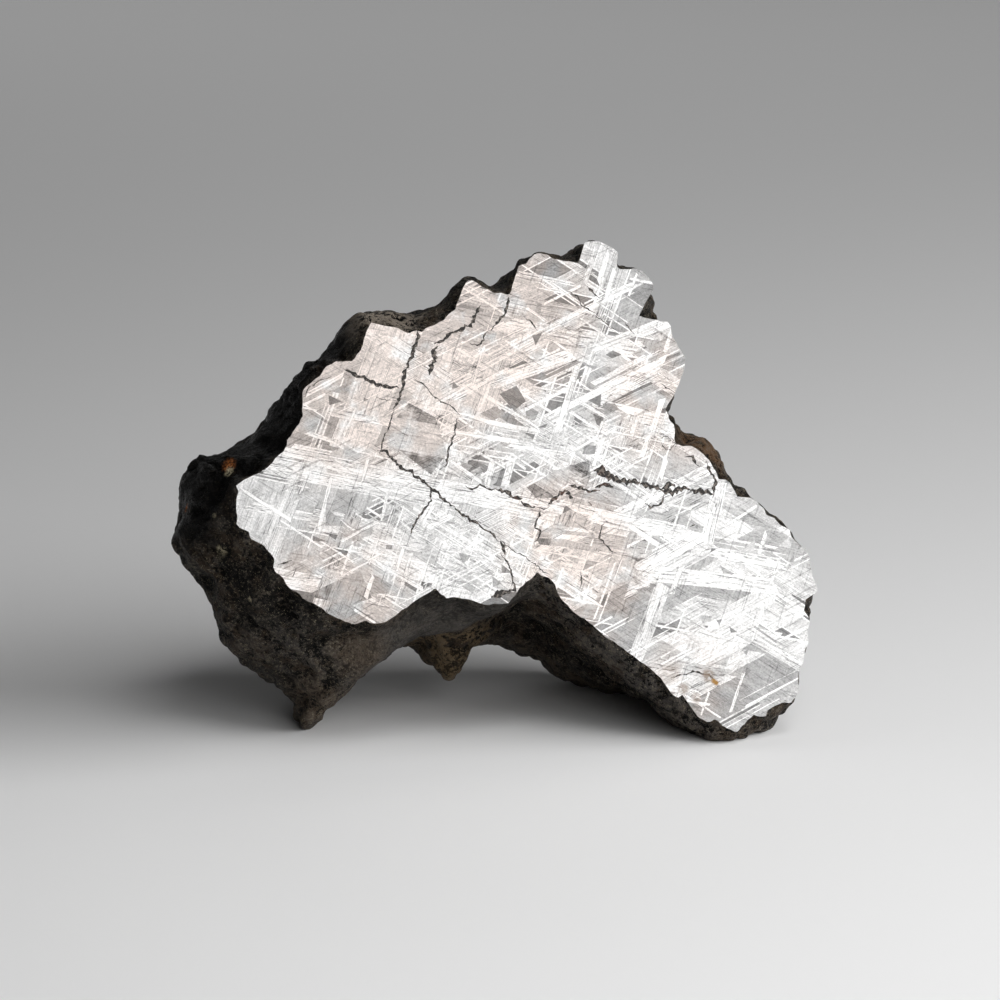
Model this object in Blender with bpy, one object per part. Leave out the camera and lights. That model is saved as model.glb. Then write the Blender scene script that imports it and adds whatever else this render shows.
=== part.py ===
"""Iron meteorite end piece: one lump of metal with a flat polished cut on its front and natural crust all round.

The lump is a loft. Its front ring is the edge of the cut, and each further ring lies deeper behind the
cut, until the back closes. Positions on it are (across, up, depth): millimetres along the cut to the
right, millimetres along the cut upwards, and millimetres straight behind the cut. The cut leans back
and looks a little to the right.
"""

import bmesh
import bpy
import numpy as np

MM = 0.001
NODE = "iron_meteorite"

CUT_LEAN = 22.0  # degrees that the cut leans back from upright
CUT_TURN = 14.0  # degrees that the cut is turned towards +X
CUT_MIDDLE = (3.82, -10.04, 32.71)  # mm: the point of the cut that bearings are taken round
BACK_DEPTH = 31.5  # mm from the cut to the middle of the back
DRAWN_IN_DEPTH = 30.6  # mm: the last ring before the middle of the back
DRAWN_IN_OWN, DRAWN_IN_MEAN = 0.3, 0.25  # shares of its own and of the mean reach that this ring keeps
BACK_BULGE = 7.0  # mm that the back bulges out low down, and falls in at the top
BULGE_RADIUS = 25.0  # mm from the middle at which the bulge has that height
BULGE_FROM = 17.0  # mm of depth at which the bulge begins
BULGE_BEARING = -100.0  # degrees: the bearing at which it is greatest
EDGE_FADE = 3.0  # mm of depth over which the small notches of the cut's edge die away in the crust
COLUMNS = 164
ROWS = 27
EDGE_SPREAD = (0, 0.45)  # shares of the way back at which the first columns are spread evenly
SIDE_SPREAD = (0.3, 0.5)  # and those of the columns along the sides
TO_SIDE = (0.0, 0.2)  # share of the way back over which the first spacing gives way to the second
TO_BACK = (0.6, 0.9)  # and the second to even bearings
NORMAL_PASSES = 8
POINT_PASSES = 2

# The edge of the cut, clockwise from its left tip: (across, up) in mm.
CUT_EDGE = [
    (-37.0, 1.7), (-36.0, 2.3), (-35.2, 2.7), (-33.9, 3.1), (-32.8, 3.8), (-31.8, 4.8), (-30.7, 5.6),
    (-30.0, 6.9), (-29.4, 8.0), (-28.4, 8.9), (-27.9, 9.8), (-27.8, 11.4), (-27.7, 12.7), (-27.3, 13.2),
    (-26.4, 13.9), (-25.4, 14.5), (-24.9, 15.1), (-24.3, 15.9), (-23.5, 16.2), (-22.1, 16.3),
    (-21.3, 16.2), (-20.7, 16.8), (-20.0, 17.6), (-19.3, 19.1), (-18.8, 20.2), (-18.4, 20.8),
    (-17.7, 20.7), (-16.5, 20.4), (-15.2, 20.1), (-14.3, 19.5), (-13.7, 19.2), (-12.8, 19.5),
    (-12.1, 19.4), (-11.6, 19.8), (-10.0, 20.2), (-9.1, 20.7), (-8.2, 21.6), (-7.5, 22.1), (-7.2, 22.9),
    (-6.5, 24.1), (-5.9, 25.1), (-5.4, 25.5), (-4.8, 25.4), (-4.1, 24.7), (-3.4, 24.3), (-2.5, 23.9),
    (-1.3, 23.6), (-0.7, 23.4), (-0.2, 23.8), (0.1, 24.8), (0.7, 26.0), (1.0, 26.9), (2.2, 27.2),
    (2.5, 27.8), (3.3, 28.4), (4.0, 28.5), (4.9, 28.0), (5.7, 27.6), (7.0, 27.3), (8.1, 27.1),
    (8.7, 27.0), (9.0, 27.4), (9.1, 28.2), (9.2, 28.9), (9.6, 29.4), (10.4, 29.7), (11.7, 29.4),
    (12.6, 29.0), (13.5, 28.5), (14.0, 27.9), (13.9, 27.3), (13.7, 26.6), (13.9, 26.1), (14.3, 25.9),
    (16.0, 25.8), (17.0, 25.3), (17.7, 24.6), (18.0, 23.9), (18.2, 23.1), (17.9, 22.6), (17.3, 22.3),
    (16.9, 21.5), (16.5, 20.6), (15.9, 19.7), (16.9, 19.4), (18.3, 19.1), (19.5, 18.8), (19.9, 18.4),
    (20.1, 17.2), (20.4, 16.3), (21.0, 15.2), (21.4, 14.3), (21.5, 13.5), (21.2, 12.5), (20.4, 11.2),
    (19.9, 10.2), (19.4, 9.4), (18.3, 7.8), (18.6, 6.7), (19.2, 5.8), (19.2, 5.0), (19.1, 4.0),
    (19.3, 3.3), (20.0, 3.0), (21.0, 3.0), (21.8, 2.6), (22.6, 1.9), (23.4, 1.0), (23.8, 0.4),
    (24.1, -0.6), (24.5, -1.5), (25.1, -1.4), (25.8, -2.0), (26.2, -2.8), (26.5, -3.8), (27.2, -3.5),
    (28.3, -4.0), (29.1, -4.7), (29.9, -5.5), (30.3, -6.5), (31.1, -6.8), (31.8, -7.7), (33.0, -8.4),
    (33.3, -9.4), (33.8, -10.1), (34.2, -10.6), (34.7, -10.4), (35.1, -11.2), (35.3, -12.7),
    (35.4, -14.2), (35.7, -15.3), (35.8, -16.3), (35.3, -16.9), (34.2, -17.3), (33.9, -18.8),
    (34.5, -19.7), (34.2, -21.5), (33.9, -23.1), (33.1, -25.0), (32.4, -26.8), (32.1, -28.6),
    (31.6, -29.6), (31.0, -30.1), (29.9, -30.1), (28.9, -30.5), (27.9, -30.9), (27.5, -31.5),
    (26.6, -31.6), (26.0, -31.2), (25.2, -32.0), (24.3, -32.6), (23.5, -33.3), (22.9, -32.9),
    (22.1, -32.5), (21.6, -32.1), (21.5, -31.6), (20.8, -31.4), (20.0, -31.8), (19.3, -31.3),
    (18.8, -31.0), (18.8, -30.0), (18.3, -29.4), (17.8, -28.5), (17.2, -27.9), (16.4, -28.4),
    (15.6, -27.8), (15.2, -27.1), (15.2, -26.2), (14.8, -25.8), (13.6, -24.9), (12.6, -24.0),
    (11.9, -23.4), (10.1, -21.9), (8.9, -20.9), (7.7, -20.0), (7.3, -19.6), (6.3, -18.5), (5.3, -17.7),
    (4.2, -17.0), (3.4, -16.0), (2.6, -15.1), (2.2, -14.2), (2.0, -13.1), (1.4, -12.4), (0.5, -12.1),
    (-0.1, -11.5), (-0.7, -12.1), (-1.6, -12.6), (-2.4, -13.2), (-3.0, -13.9), (-3.4, -14.4),
    (-4.2, -15.1), (-4.9, -15.3), (-5.8, -15.0), (-6.5, -15.2), (-7.4, -15.1), (-8.5, -14.7),
    (-9.5, -14.2), (-11.0, -14.0), (-11.9, -13.9), (-12.7, -13.1), (-13.3, -12.7), (-14.0, -13.1),
    (-14.9, -13.5), (-16.1, -14.1), (-17.0, -14.8), (-17.8, -15.1), (-18.4, -15.8), (-19.8, -16.3),
    (-20.9, -16.5), (-22.1, -16.1), (-22.8, -16.1), (-23.2, -16.3), (-24.1, -16.3), (-25.0, -15.9),
    (-25.8, -15.4), (-26.8, -14.8), (-27.7, -14.0), (-29.0, -13.3), (-29.8, -12.7), (-30.1, -12.2),
    (-31.0, -11.8), (-31.5, -11.2), (-31.9, -10.2), (-32.8, -9.4), (-33.1, -8.7), (-32.9, -7.8),
    (-33.3, -7.0), (-34.0, -6.1), (-35.1, -5.4), (-35.7, -4.9), (-35.9, -4.1), (-36.9, -3.6),
    (-37.4, -3.1), (-37.1, -2.1), (-37.1, -0.9), (-36.9, 0.1), (-36.6, 0.9), (-36.9, 1.3),
]

# How far the lump reaches from the line behind CUT_MIDDLE, in mm, at each of these depths behind the cut.
DEPTHS = [0.0, 2.5, 6.0, 11.0, 17.0, 23.0, 28.0]
# One row for each bearing in degrees: from the left tip over the top, down the right, and back underneath.
REACH = [
    (180, 37.1, 39.3, 41.3, 42.2, 40.6, 35.0, 23.0),
    (176, 36.0, 37.6, 39.8, 41.2, 40.0, 34.6, 23.0),
    (172, 32.5, 35.0, 38.2, 39.8, 38.0, 33.0, 22.5),
    (168, 31.0, 33.2, 35.2, 36.0, 34.6, 30.5, 21.0),
    (160, 29.6, 31.4, 32.6, 32.4, 31.0, 27.8, 20.0),
    (155, 30.5, 31.5, 32.3, 32.0, 30.6, 27.0, 19.0),
    (150, 29.2, 30.8, 31.5, 31.4, 30.4, 27.2, 19.4),
    (141, 26.8, 28.6, 29.4, 29.2, 28.6, 26.2, 19.0),
    (133, 27.8, 29.2, 29.9, 29.4, 28.2, 25.6, 18.6),
    (126, 25.0, 27.6, 29.4, 28.6, 27.0, 24.4, 17.2),
    (119, 22.8, 24.6, 25.8, 26.4, 25.8, 23.4, 16.0),
    (109, 23.2, 24.2, 24.8, 25.4, 25.2, 22.6, 15.0),
    (101, 26.0, 26.4, 26.6, 26.2, 25.2, 22.0, 14.5),
    (93, 23.4, 24.2, 25.2, 26.0, 25.4, 21.8, 14.2),
    (87, 27.0, 27.4, 27.2, 26.8, 25.6, 21.8, 14.0),
    (80, 28.6, 29.0, 29.2, 28.2, 25.8, 21.6, 14.0),
    (73, 28.6, 29.2, 29.4, 28.6, 26.2, 21.8, 14.0),
    (69, 31.6, 32.1, 32.4, 30.4, 26.8, 22.0, 14.0),
    (62, 30.0, 30.2, 30.8, 30.2, 27.2, 22.2, 14.0),
    (56, 30.4, 30.6, 30.8, 30.2, 27.6, 22.4, 14.4),
    (50, 27.0, 29.0, 30.2, 30.0, 27.6, 22.6, 14.8),
    (45, 27.0, 28.0, 29.0, 29.2, 27.2, 22.6, 15.0),
    (38, 26.2, 26.8, 27.8, 28.6, 27.0, 22.8, 15.2),
    (32, 25.4, 25.8, 26.6, 27.4, 26.8, 23.0, 15.6),
    (26, 21.6, 22.2, 23.4, 24.8, 26.0, 24.0, 18.0),
    (22, 19.8, 20.4, 21.6, 23.2, 25.0, 24.0, 18.0),
    (15, 19.8, 20.8, 22.4, 24.2, 25.5, 24.6, 18.4),
    (10, 19.8, 22.2, 25.0, 26.4, 27.0, 25.4, 19.0),
    (4, 22.9, 24.8, 27.0, 28.2, 28.4, 26.2, 19.4),
    (-3, 24.8, 26.6, 28.8, 30.0, 29.8, 27.0, 19.8),
    (-8, 27.6, 29.4, 31.8, 32.6, 31.4, 28.0, 20.2),
    (-12, 31.0, 32.0, 34.4, 34.6, 33.0, 28.6, 20.4),
    (-18, 36.8, 37.0, 38.0, 37.0, 34.6, 29.4, 20.8),
    (-24, 39.2, 39.3, 39.4, 38.2, 35.4, 30.0, 21.0),
    (-31, 40.0, 40.4, 40.2, 38.6, 35.8, 30.4, 21.2),
    (-38, 41.8, 42.2, 41.6, 39.4, 36.0, 30.6, 21.4),
    (-44, 43.2, 43.8, 43.0, 40.6, 36.2, 30.6, 21.4),
    (-49, 41.8, 43.6, 44.2, 40.8, 35.6, 31.0, 23.0),
    (-55, 40.8, 42.2, 41.2, 37.6, 33.6, 31.0, 24.5),
    (-59, 36.3, 40.0, 39.2, 35.0, 31.2, 29.6, 25.0),
    (-62, 27.8, 35.6, 35.6, 31.4, 29.2, 28.7, 24.8),
    (-65, 24.6, 28.0, 29.6, 28.4, 27.6, 27.2, 23.8),
    (-70, 20.6, 22.6, 24.6, 24.0, 24.7, 25.2, 21.7),
    (-75, 18.0, 19.0, 21.0, 20.3, 21.6, 22.2, 19.5),
    (-82, 13.2, 15.2, 16.0, 15.8, 18.6, 20.4, 16.5),
    (-90, 11.6, 13.2, 14.0, 14.0, 17.0, 19.0, 15.8),
    (-96, 12.5, 13.6, 14.4, 14.6, 18.0, 18.8, 15.5),
    (-104, 15.0, 15.6, 16.2, 16.6, 20.5, 21.0, 15.5),
    (-110, 16.2, 17.0, 17.6, 18.0, 23.6, 23.2, 16.0),
    (-116, 16.8, 17.8, 18.8, 18.8, 23.0, 22.6, 17.5),
    (-122, 17.0, 17.8, 21.2, 20.2, 21.4, 21.2, 19.6),
    (-128, 17.8, 18.9, 23.0, 22.4, 22.0, 22.6, 22.6),
    (-131, 18.1, 19.6, 25.2, 24.6, 24.2, 25.4, 25.0),
    (-132, 18.2, 20.0, 26.0, 25.6, 25.2, 27.4, 26.2),
    (-133, 18.3, 20.4, 27.2, 27.0, 28.0, 32.6, 27.6),
    (-133.8, 18.4, 20.7, 28.2, 29.0, 36.0, 36.0, 28.6),
    (-134.6, 18.7, 21.2, 29.2, 32.5, 39.2, 36.9, 29.6),
    (-136.2, 19.2, 22.4, 30.2, 35.8, 39.4, 37.2, 30.8),
    (-140, 25.0, 26.4, 31.4, 36.2, 37.4, 36.0, 31.6),
    (-145, 28.4, 30.6, 33.8, 36.6, 38.2, 35.8, 31.0),
    (-152, 31.0, 33.2, 35.8, 38.8, 40.2, 36.2, 28.0),
    (-158, 33.0, 34.6, 37.4, 40.6, 41.2, 36.0, 24.0),
    (-163, 33.8, 35.8, 38.6, 41.2, 40.8, 36.0, 24.0),
    (-167, 34.0, 36.0, 38.8, 41.4, 40.6, 36.0, 24.0),
    (-170, 34.8, 36.6, 40.0, 42.6, 41.2, 36.0, 24.0),
    (-175, 37.3, 38.4, 41.2, 42.6, 41.2, 36.0, 23.8),
]

# Knobs (+) and hollows (-) that stand out on the crust: across, up, depth, radius and height, all in mm.
KNOBS = [
    (-40.0, 4.0, 10.0, 4.5, 0.9),  # upper lobe of the left end
    (-42.0, 0.2, 12.0, 1.8, -0.9),  # groove under it
    (-42.8, -4.0, 12.0, 4.0, 0.3),  # lower lobe of the left end
    (-41.5, -8.8, 12.0, 2.2, -1.0),  # notch under that
    (-35.4, 6.6, 8.0, 2.4, -0.8),  # saddle above the left end
    (-33.0, -20.5, 14.0, 4.0, -0.8),  # hollow above the left foot
    (-9.6, -23.0, 19.0, 2.4, 1.4),  # tip of the knob that hangs in the arch
    (-14.0, -19.0, 19.0, 2.6, -0.9),  # dip beside it
    (6.0, 12.0, 30.0, 9.0, 1.2),  # swell high on the back
    (-18.0, 2.0, 28.0, 8.0, -1.4),  # broad hollow low on the back
    (-9.0, 24.0, 14.0, 5.0, -1.4),  # hollow on the top, behind the cut
    (8.0, 27.0, 17.0, 5.5, -1.6),  # another beside it
    (0.0, 25.0, 20.0, 4.0, 1.0),  # ridge between them
    (19.0, 19.0, 14.0, 5.0, -1.2),  # hollow on the upper right
    (30.0, 2.0, 14.0, 5.0, -0.8),  # dent on the right shoulder
]

# Irregular relief of the crust: size of its features and height on the front rim and on the back, in mm.
RELIEF = [(12.0, 0.3, 1.5), (5.5, 0.3, 0.8), (2.6, 0.2, 0.35)]
# Thumbprint hollows: spacing, depth on the front rim and depth on the back, in mm.
THUMBPRINTS = [(9.5, 0.4, 2.4), (5.0, 0.35, 0.8)]
THUMBPRINT_MEAN = 0.37  # their mean share of that depth, given back so that the size stays
# The front rim's gentler relief goes this deep behind the cut, from the underside to the top.
RIM_HEIGHTS, RIM_DEPTHS = (-18, -12, 8, 14), (27, 17, 17, 9)
RIM_FADE = 8.0  # mm over which the relief then grows to that of the back
RELIEF_START = 2.5  # mm of depth over which the relief begins at the cut's edge
FLAT_SNAP = 0.03  # mm off the floor within which a point is set on it


def smooth_curve(x, y, at):
    """Smooth curve through (x, y) with no overshoot: each slope is the harmonic mean of its two chords."""
    column = (-1,) + (1,) * (y.ndim - 1)
    chord = np.diff(y, axis=0) / np.diff(x).reshape(column)
    together = chord[:-1] * chord[1:]
    total = chord[:-1] + chord[1:]
    inner = np.where(together > 0, 2 * together / np.where(total == 0, 1, total), 0)
    slope = np.concatenate([chord[:1], inner, chord[-1:]])
    i = np.clip(np.searchsorted(x, at) - 1, 0, len(x) - 2)
    width = (x[i + 1] - x[i]).reshape(column)
    u = (at - x[i]).reshape(column) / width
    start = y[i] * (1 + 2 * u) * (1 - u) ** 2 + slope[i] * width * u * (1 - u) ** 2
    return start + y[i + 1] * u * u * (3 - 2 * u) + slope[i + 1] * width * u * u * (u - 1)


def reach_at(bearings):
    """Reach at each depth for each bearing: the rows of REACH joined by a smooth closed curve, then drawn in."""
    table = np.array(REACH[::-1], dtype=float)
    x = np.concatenate([table[-3:, 0] - 360, table[:, 0], table[:3, 0] + 360])
    y = np.concatenate([table[-3:, 1:], table[:, 1:], table[:3, 1:]])
    reach = smooth_curve(x, y, bearings)
    drawn_in = DRAWN_IN_OWN * reach[:, -1:] + DRAWN_IN_MEAN * table[:, -1].mean()
    return np.concatenate([reach, drawn_in, 0 * drawn_in], axis=1)


def edge_at(bearings):
    """Distance of the cut's edge from CUT_MIDDLE at each bearing."""
    edge = np.array(CUT_EDGE)
    angle = np.degrees(np.unwrap(np.arctan2(edge[:, 1], edge[:, 0])))
    angle = (np.minimum.accumulate(angle) - 0.001 * np.arange(len(edge)))[::-1]
    distance = np.hypot(edge[:, 0], edge[:, 1])[::-1]
    angle = np.concatenate([angle - 360, angle, angle + 360])
    return np.interp(bearings, angle, np.tile(distance, 3))


def ring_at(bearings, share):
    """(across, up, depth) of the plain loft at these bearings, a share of the way from cut to back."""
    depths = np.array(DEPTHS + [DRAWN_IN_DEPTH, BACK_DEPTH])
    mean_reach = reach_at(np.arange(-180.0, 180.0)).mean(axis=0)
    step = np.hypot(np.diff(depths), np.diff(mean_reach))
    along = np.concatenate([[0], np.cumsum(step)]) / step.sum()
    depth = smooth_curve(along, depths, np.array([share]))[0]
    reach = reach_at(bearings)
    radius = smooth_curve(along, reach.T, np.array([share]))[0]
    radius = radius + (edge_at(bearings) - reach[:, 0]) * np.exp(-depth / EDGE_FADE)
    angle = np.radians(bearings)
    nearness = np.clip((depth - BULGE_FROM) / (BACK_DEPTH - BULGE_FROM), 0, 1)
    bulge = BACK_BULGE * radius / BULGE_RADIUS * np.cos(angle - np.radians(BULGE_BEARING)) * nearness**2
    return np.stack([radius * np.cos(angle), radius * np.sin(angle), depth + bulge], axis=-1)


def spread(columns, shares):
    """Bearings of the columns when they are spread evenly along the rings at these shares of the way back."""
    fine = np.linspace(-180, 180, 2881)
    length = sum(np.linalg.norm(np.diff(ring_at(fine, share), axis=0), axis=1) for share in shares)
    along = np.concatenate([[0], np.cumsum(length)])
    return np.interp(np.arange(columns) / columns * along[-1], along, fine)


def eased(value, start, end):
    """0 before start and 1 after end, with a soft rise between them."""
    u = np.clip((value - start) / (end - start), 0, 1)
    return u * u * (3 - 2 * u)


def crust_rings(columns, rows):
    """The plain loft's rings. Columns follow the notches of the cut, then the sides, then even bearings."""
    by_edge = spread(columns, EDGE_SPREAD)
    by_side = spread(columns, SIDE_SPREAD)
    by_back = -180 + 360 * np.arange(columns) / columns
    rings = []
    for share in np.arange(rows) / rows:
        bearings = by_edge + (by_side - by_edge) * eased(share, *TO_SIDE)
        bearings = bearings + (by_back - bearings) * eased(share, *TO_BACK)
        rings.append(ring_at(bearings, share))
    return np.array(rings)


def lattice(cell):
    """A repeatable number from 0 to 1 for each whole-number lattice point."""
    x, y, z = (cell[..., i].astype(np.int64) for i in range(3))
    mixed = (x * 73856093) ^ (y * 19349663) ^ (z * 83492791)
    mixed = ((mixed ^ (mixed >> 13)) * 1274126177) & 0x7FFFFFFF
    return ((mixed >> 8) & 0xFFFF) / 65535.0


def soft_noise(points):
    """Smooth noise from -1 to 1: lattice numbers blended across each unit cube."""
    cell = np.floor(points)
    u = points - cell
    u = u * u * (3 - 2 * u)
    value = 0
    for corner in np.ndindex(2, 2, 2):
        weight = np.prod(np.where(np.array(corner) == 1, u, 1 - u), axis=-1)
        value = value + weight * lattice(cell + np.array(corner))
    return 2 * value - 1


def thumbprints(points):
    """Depth from 0 to 1 of round hollows, one scattered in each unit cube."""
    cell = np.floor(points)
    deepest = np.zeros(points.shape[:-1])
    for step in np.ndindex(3, 3, 3):
        home = cell + np.array(step) - 1
        centre = home + np.stack([lattice(home + 7 * k) for k in (1, 2, 3)], axis=-1)
        radius = 0.55 + 0.35 * lattice(home + 31)
        inside = 1 - (np.linalg.norm(points - centre, axis=-1) / radius) ** 2
        deepest = np.maximum(deepest, np.clip(inside, 0, 1) ** 1.5)
    return deepest


def unit(vectors):
    """The vectors at length 1."""
    return vectors / np.maximum(np.linalg.norm(vectors, axis=-1, keepdims=True), 1e-9)


def outward(points):
    """Outward directions on the rings, evened out so that relief can't fold at a tight corner."""
    along = np.roll(points, -1, axis=1) - np.roll(points, 1, axis=1)
    normal = unit(np.cross(along, np.gradient(points, axis=0)))
    for _ in range(NORMAL_PASSES):
        padded = np.concatenate([normal[:1], normal, normal[-1:]])
        sides = np.roll(normal, 1, axis=1) + np.roll(normal, -1, axis=1)
        normal = unit(normal + sides + padded[:-2] + padded[2:])
    return normal


def evened(rings):
    """The rings, each point drawn halfway to the mean of its neighbours, except along the cut's edge."""
    for _ in range(POINT_PASSES):
        sides = np.roll(rings, 1, axis=1) + np.roll(rings, -1, axis=1)
        mean = (sides[1:-1] + rings[:-2] + rings[2:]) / 4
        rings = np.concatenate([rings[:1], (rings[1:-1] + mean) / 2, rings[-1:]])
    return rings


def relief(points):
    """How far the crust stands out of the plain loft at each point, in mm. It is nothing along the cut's edge."""
    depth = points[..., 2]
    back = np.clip((depth - np.interp(points[..., 1], RIM_HEIGHTS, RIM_DEPTHS)) / RIM_FADE, 0, 1)
    height = 0
    for size, front_height, back_height in RELIEF:
        tall = front_height + (back_height - front_height) * back
        height = height + tall * soft_noise(points / size + size)
    for spacing, front_depth, back_depth in THUMBPRINTS:
        hollow = thumbprints(points / spacing) - THUMBPRINT_MEAN
        height = height - (front_depth + (back_depth - front_depth) * back) * hollow
    for across, up, deep, radius, tall in KNOBS:
        distance = np.linalg.norm(points - np.array([across, up, deep]), axis=-1)
        height = height + tall * np.exp(-((distance / radius) ** 2))
    return height * np.clip(depth / RELIEF_START, 0, 1)


def cut_axes():
    """Directions along the cut to the right and upwards, and straight out of it."""
    lean, turn = np.radians([CUT_LEAN, CUT_TURN])
    right = np.array([np.cos(turn), np.sin(turn), 0])
    facing = np.array([np.sin(turn) * np.cos(lean), -np.cos(turn) * np.cos(lean), np.sin(lean)])
    return right, np.cross(facing, right), facing


def in_frame(points):
    """World position in metres of (across, up, depth) points."""
    right, up, facing = cut_axes()
    along = points[..., 0:1] * right + points[..., 1:2] * up
    return (np.array(CUT_MIDDLE) + along - points[..., 2:3] * facing) * MM


def skin():
    """A mesh of the cut, the crust ring by ring, and the last fan of the back."""
    rings = crust_rings(COLUMNS, ROWS)
    rings = evened(rings + outward(rings) * relief(rings)[..., None])
    middle = np.array([0, 0, BACK_DEPTH + relief(np.array([[0, 0, BACK_DEPTH]]))[0]])
    shape = bmesh.new()
    rows = [[shape.verts.new(p) for p in in_frame(ring)] for ring in rings]
    tip = shape.verts.new(in_frame(middle))
    shape.faces.new(rows[0])
    for front, behind in zip(rows, rows[1:]):
        for j in range(COLUMNS):
            k = (j + 1) % COLUMNS
            shape.faces.new((front[j], front[k], behind[k], behind[j]))
    for j in range(COLUMNS):
        shape.faces.new((rows[-1][j], rows[-1][(j + 1) % COLUMNS], tip))
    return shape


def build_lump():
    """The closed lump, with small flats where it stands on the floor."""
    shape = skin()
    for point in shape.verts:
        if abs(point.co.z) < FLAT_SNAP * MM:
            point.co.z = 0
    everything = shape.verts[:] + shape.edges[:] + shape.faces[:]
    bmesh.ops.bisect_plane(
        shape, geom=everything, dist=1e-7, plane_co=(0, 0, 0), plane_no=(0, 0, 1), clear_inner=True
    )
    bmesh.ops.holes_fill(shape, edges=[edge for edge in shape.edges if edge.is_boundary])
    bmesh.ops.recalc_face_normals(shape, faces=shape.faces[:])
    bmesh.ops.triangulate(shape, faces=shape.faces[:])
    mesh = bpy.data.meshes.new(NODE)
    shape.to_mesh(mesh)
    shape.free()
    return mesh


def crust_material():
    """Dark, dull, slightly metallic weathered crust."""
    material = bpy.data.materials.new("crust")
    material.use_nodes = True
    surface = material.node_tree.nodes["Principled BSDF"]
    surface.inputs["Base Color"].default_value = (0.045, 0.036, 0.028, 1)
    surface.inputs["Metallic"].default_value = 0.35
    surface.inputs["Roughness"].default_value = 0.62
    return material


def cut_material():
    """Bright etched iron of the cut."""
    material = bpy.data.materials.new("etched_cut")
    material.use_nodes = True
    surface = material.node_tree.nodes["Principled BSDF"]
    surface.inputs["Base Color"].default_value = (0.76, 0.75, 0.74, 1)
    surface.inputs["Metallic"].default_value = 0.9
    surface.inputs["Roughness"].default_value = 0.38
    return material


def main():
    for obj in list(bpy.data.objects):
        bpy.data.objects.remove(obj)
    mesh = build_lump()
    mesh.materials.append(crust_material())
    mesh.materials.append(cut_material())
    mesh.shade_smooth()
    mesh.set_sharp_from_angle(angle=np.radians(40))
    for face in mesh.polygons:
        if np.dot(face.normal, cut_axes()[2]) > 0.9999:
            face.material_index = 1
    lump = bpy.data.objects.new(NODE, mesh)
    bpy.context.scene.collection.objects.link(lump)


main()
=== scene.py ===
import math

import bpy
import numpy as np
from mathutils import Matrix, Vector, geometry


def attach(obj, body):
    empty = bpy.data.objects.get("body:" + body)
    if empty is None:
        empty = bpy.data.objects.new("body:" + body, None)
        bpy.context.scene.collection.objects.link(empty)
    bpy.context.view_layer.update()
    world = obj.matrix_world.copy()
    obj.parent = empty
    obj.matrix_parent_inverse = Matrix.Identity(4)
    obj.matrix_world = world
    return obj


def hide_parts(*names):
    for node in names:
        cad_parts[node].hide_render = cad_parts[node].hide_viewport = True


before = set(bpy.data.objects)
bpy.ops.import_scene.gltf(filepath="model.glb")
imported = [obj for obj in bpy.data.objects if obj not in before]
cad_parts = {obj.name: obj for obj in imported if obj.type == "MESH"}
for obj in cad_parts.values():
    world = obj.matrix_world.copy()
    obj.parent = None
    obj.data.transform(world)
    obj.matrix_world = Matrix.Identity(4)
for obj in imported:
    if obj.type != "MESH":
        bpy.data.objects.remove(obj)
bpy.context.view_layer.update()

mm = 0.001
print("frame loaded")


# The lump's plain loft has the solid's own measures, with finer columns and rows. Places on it are
# (across, up, depth) in mm: along the cut to the right, along the cut upwards, and straight behind the cut.
lump = {
    "lean": 22.0,  # degrees that the cut leans back
    "turn": 14.0,  # degrees that it is turned towards +X
    "middle": (3.82, -10.04, 32.71),  # mm: the point of the cut that bearings are taken round
    "backDepth": 31.5,  # mm from the cut to the middle of the back
    "drawnInDepth": 30.6,  # mm: the last place where the back is drawn in before it closes
    "drawnInOwn": 0.3,  # share of a bearing's own last reach there
    "drawnInMean": 0.25,  # and of the mean one
    "backBulge": 7.0,  # mm that the back bulges out low down, and falls in at the top
    "bulgeRadius": 25.0,  # mm from the middle at which the bulge has that height
    "bulgeFrom": 17.0,  # mm of depth at which it begins
    "bulgeBearing": -100.0,
    "edgeFade": 3.0,  # mm of depth over which the cut's own notches fade
    "columns": 720,
    "rows": 84,
    "fineBearings": 2881,
    "edgeSpread": (0, 0.45),  # shares of the way back at which the first columns are spread evenly
    "sideSpread": (0.3, 0.5),  # and those of the columns along the sides
    "toSide": (0.0, 0.2),
    "toBack": (0.6, 0.9),
    "normalPasses": 60,
    "pointPasses": 16,
    "poleBeyond": 0.3,  # mm that the point which closes the back lies past the last ring
    "leastLength": 1e-9,  # mm: a shorter direction counts as having none
}

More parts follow.
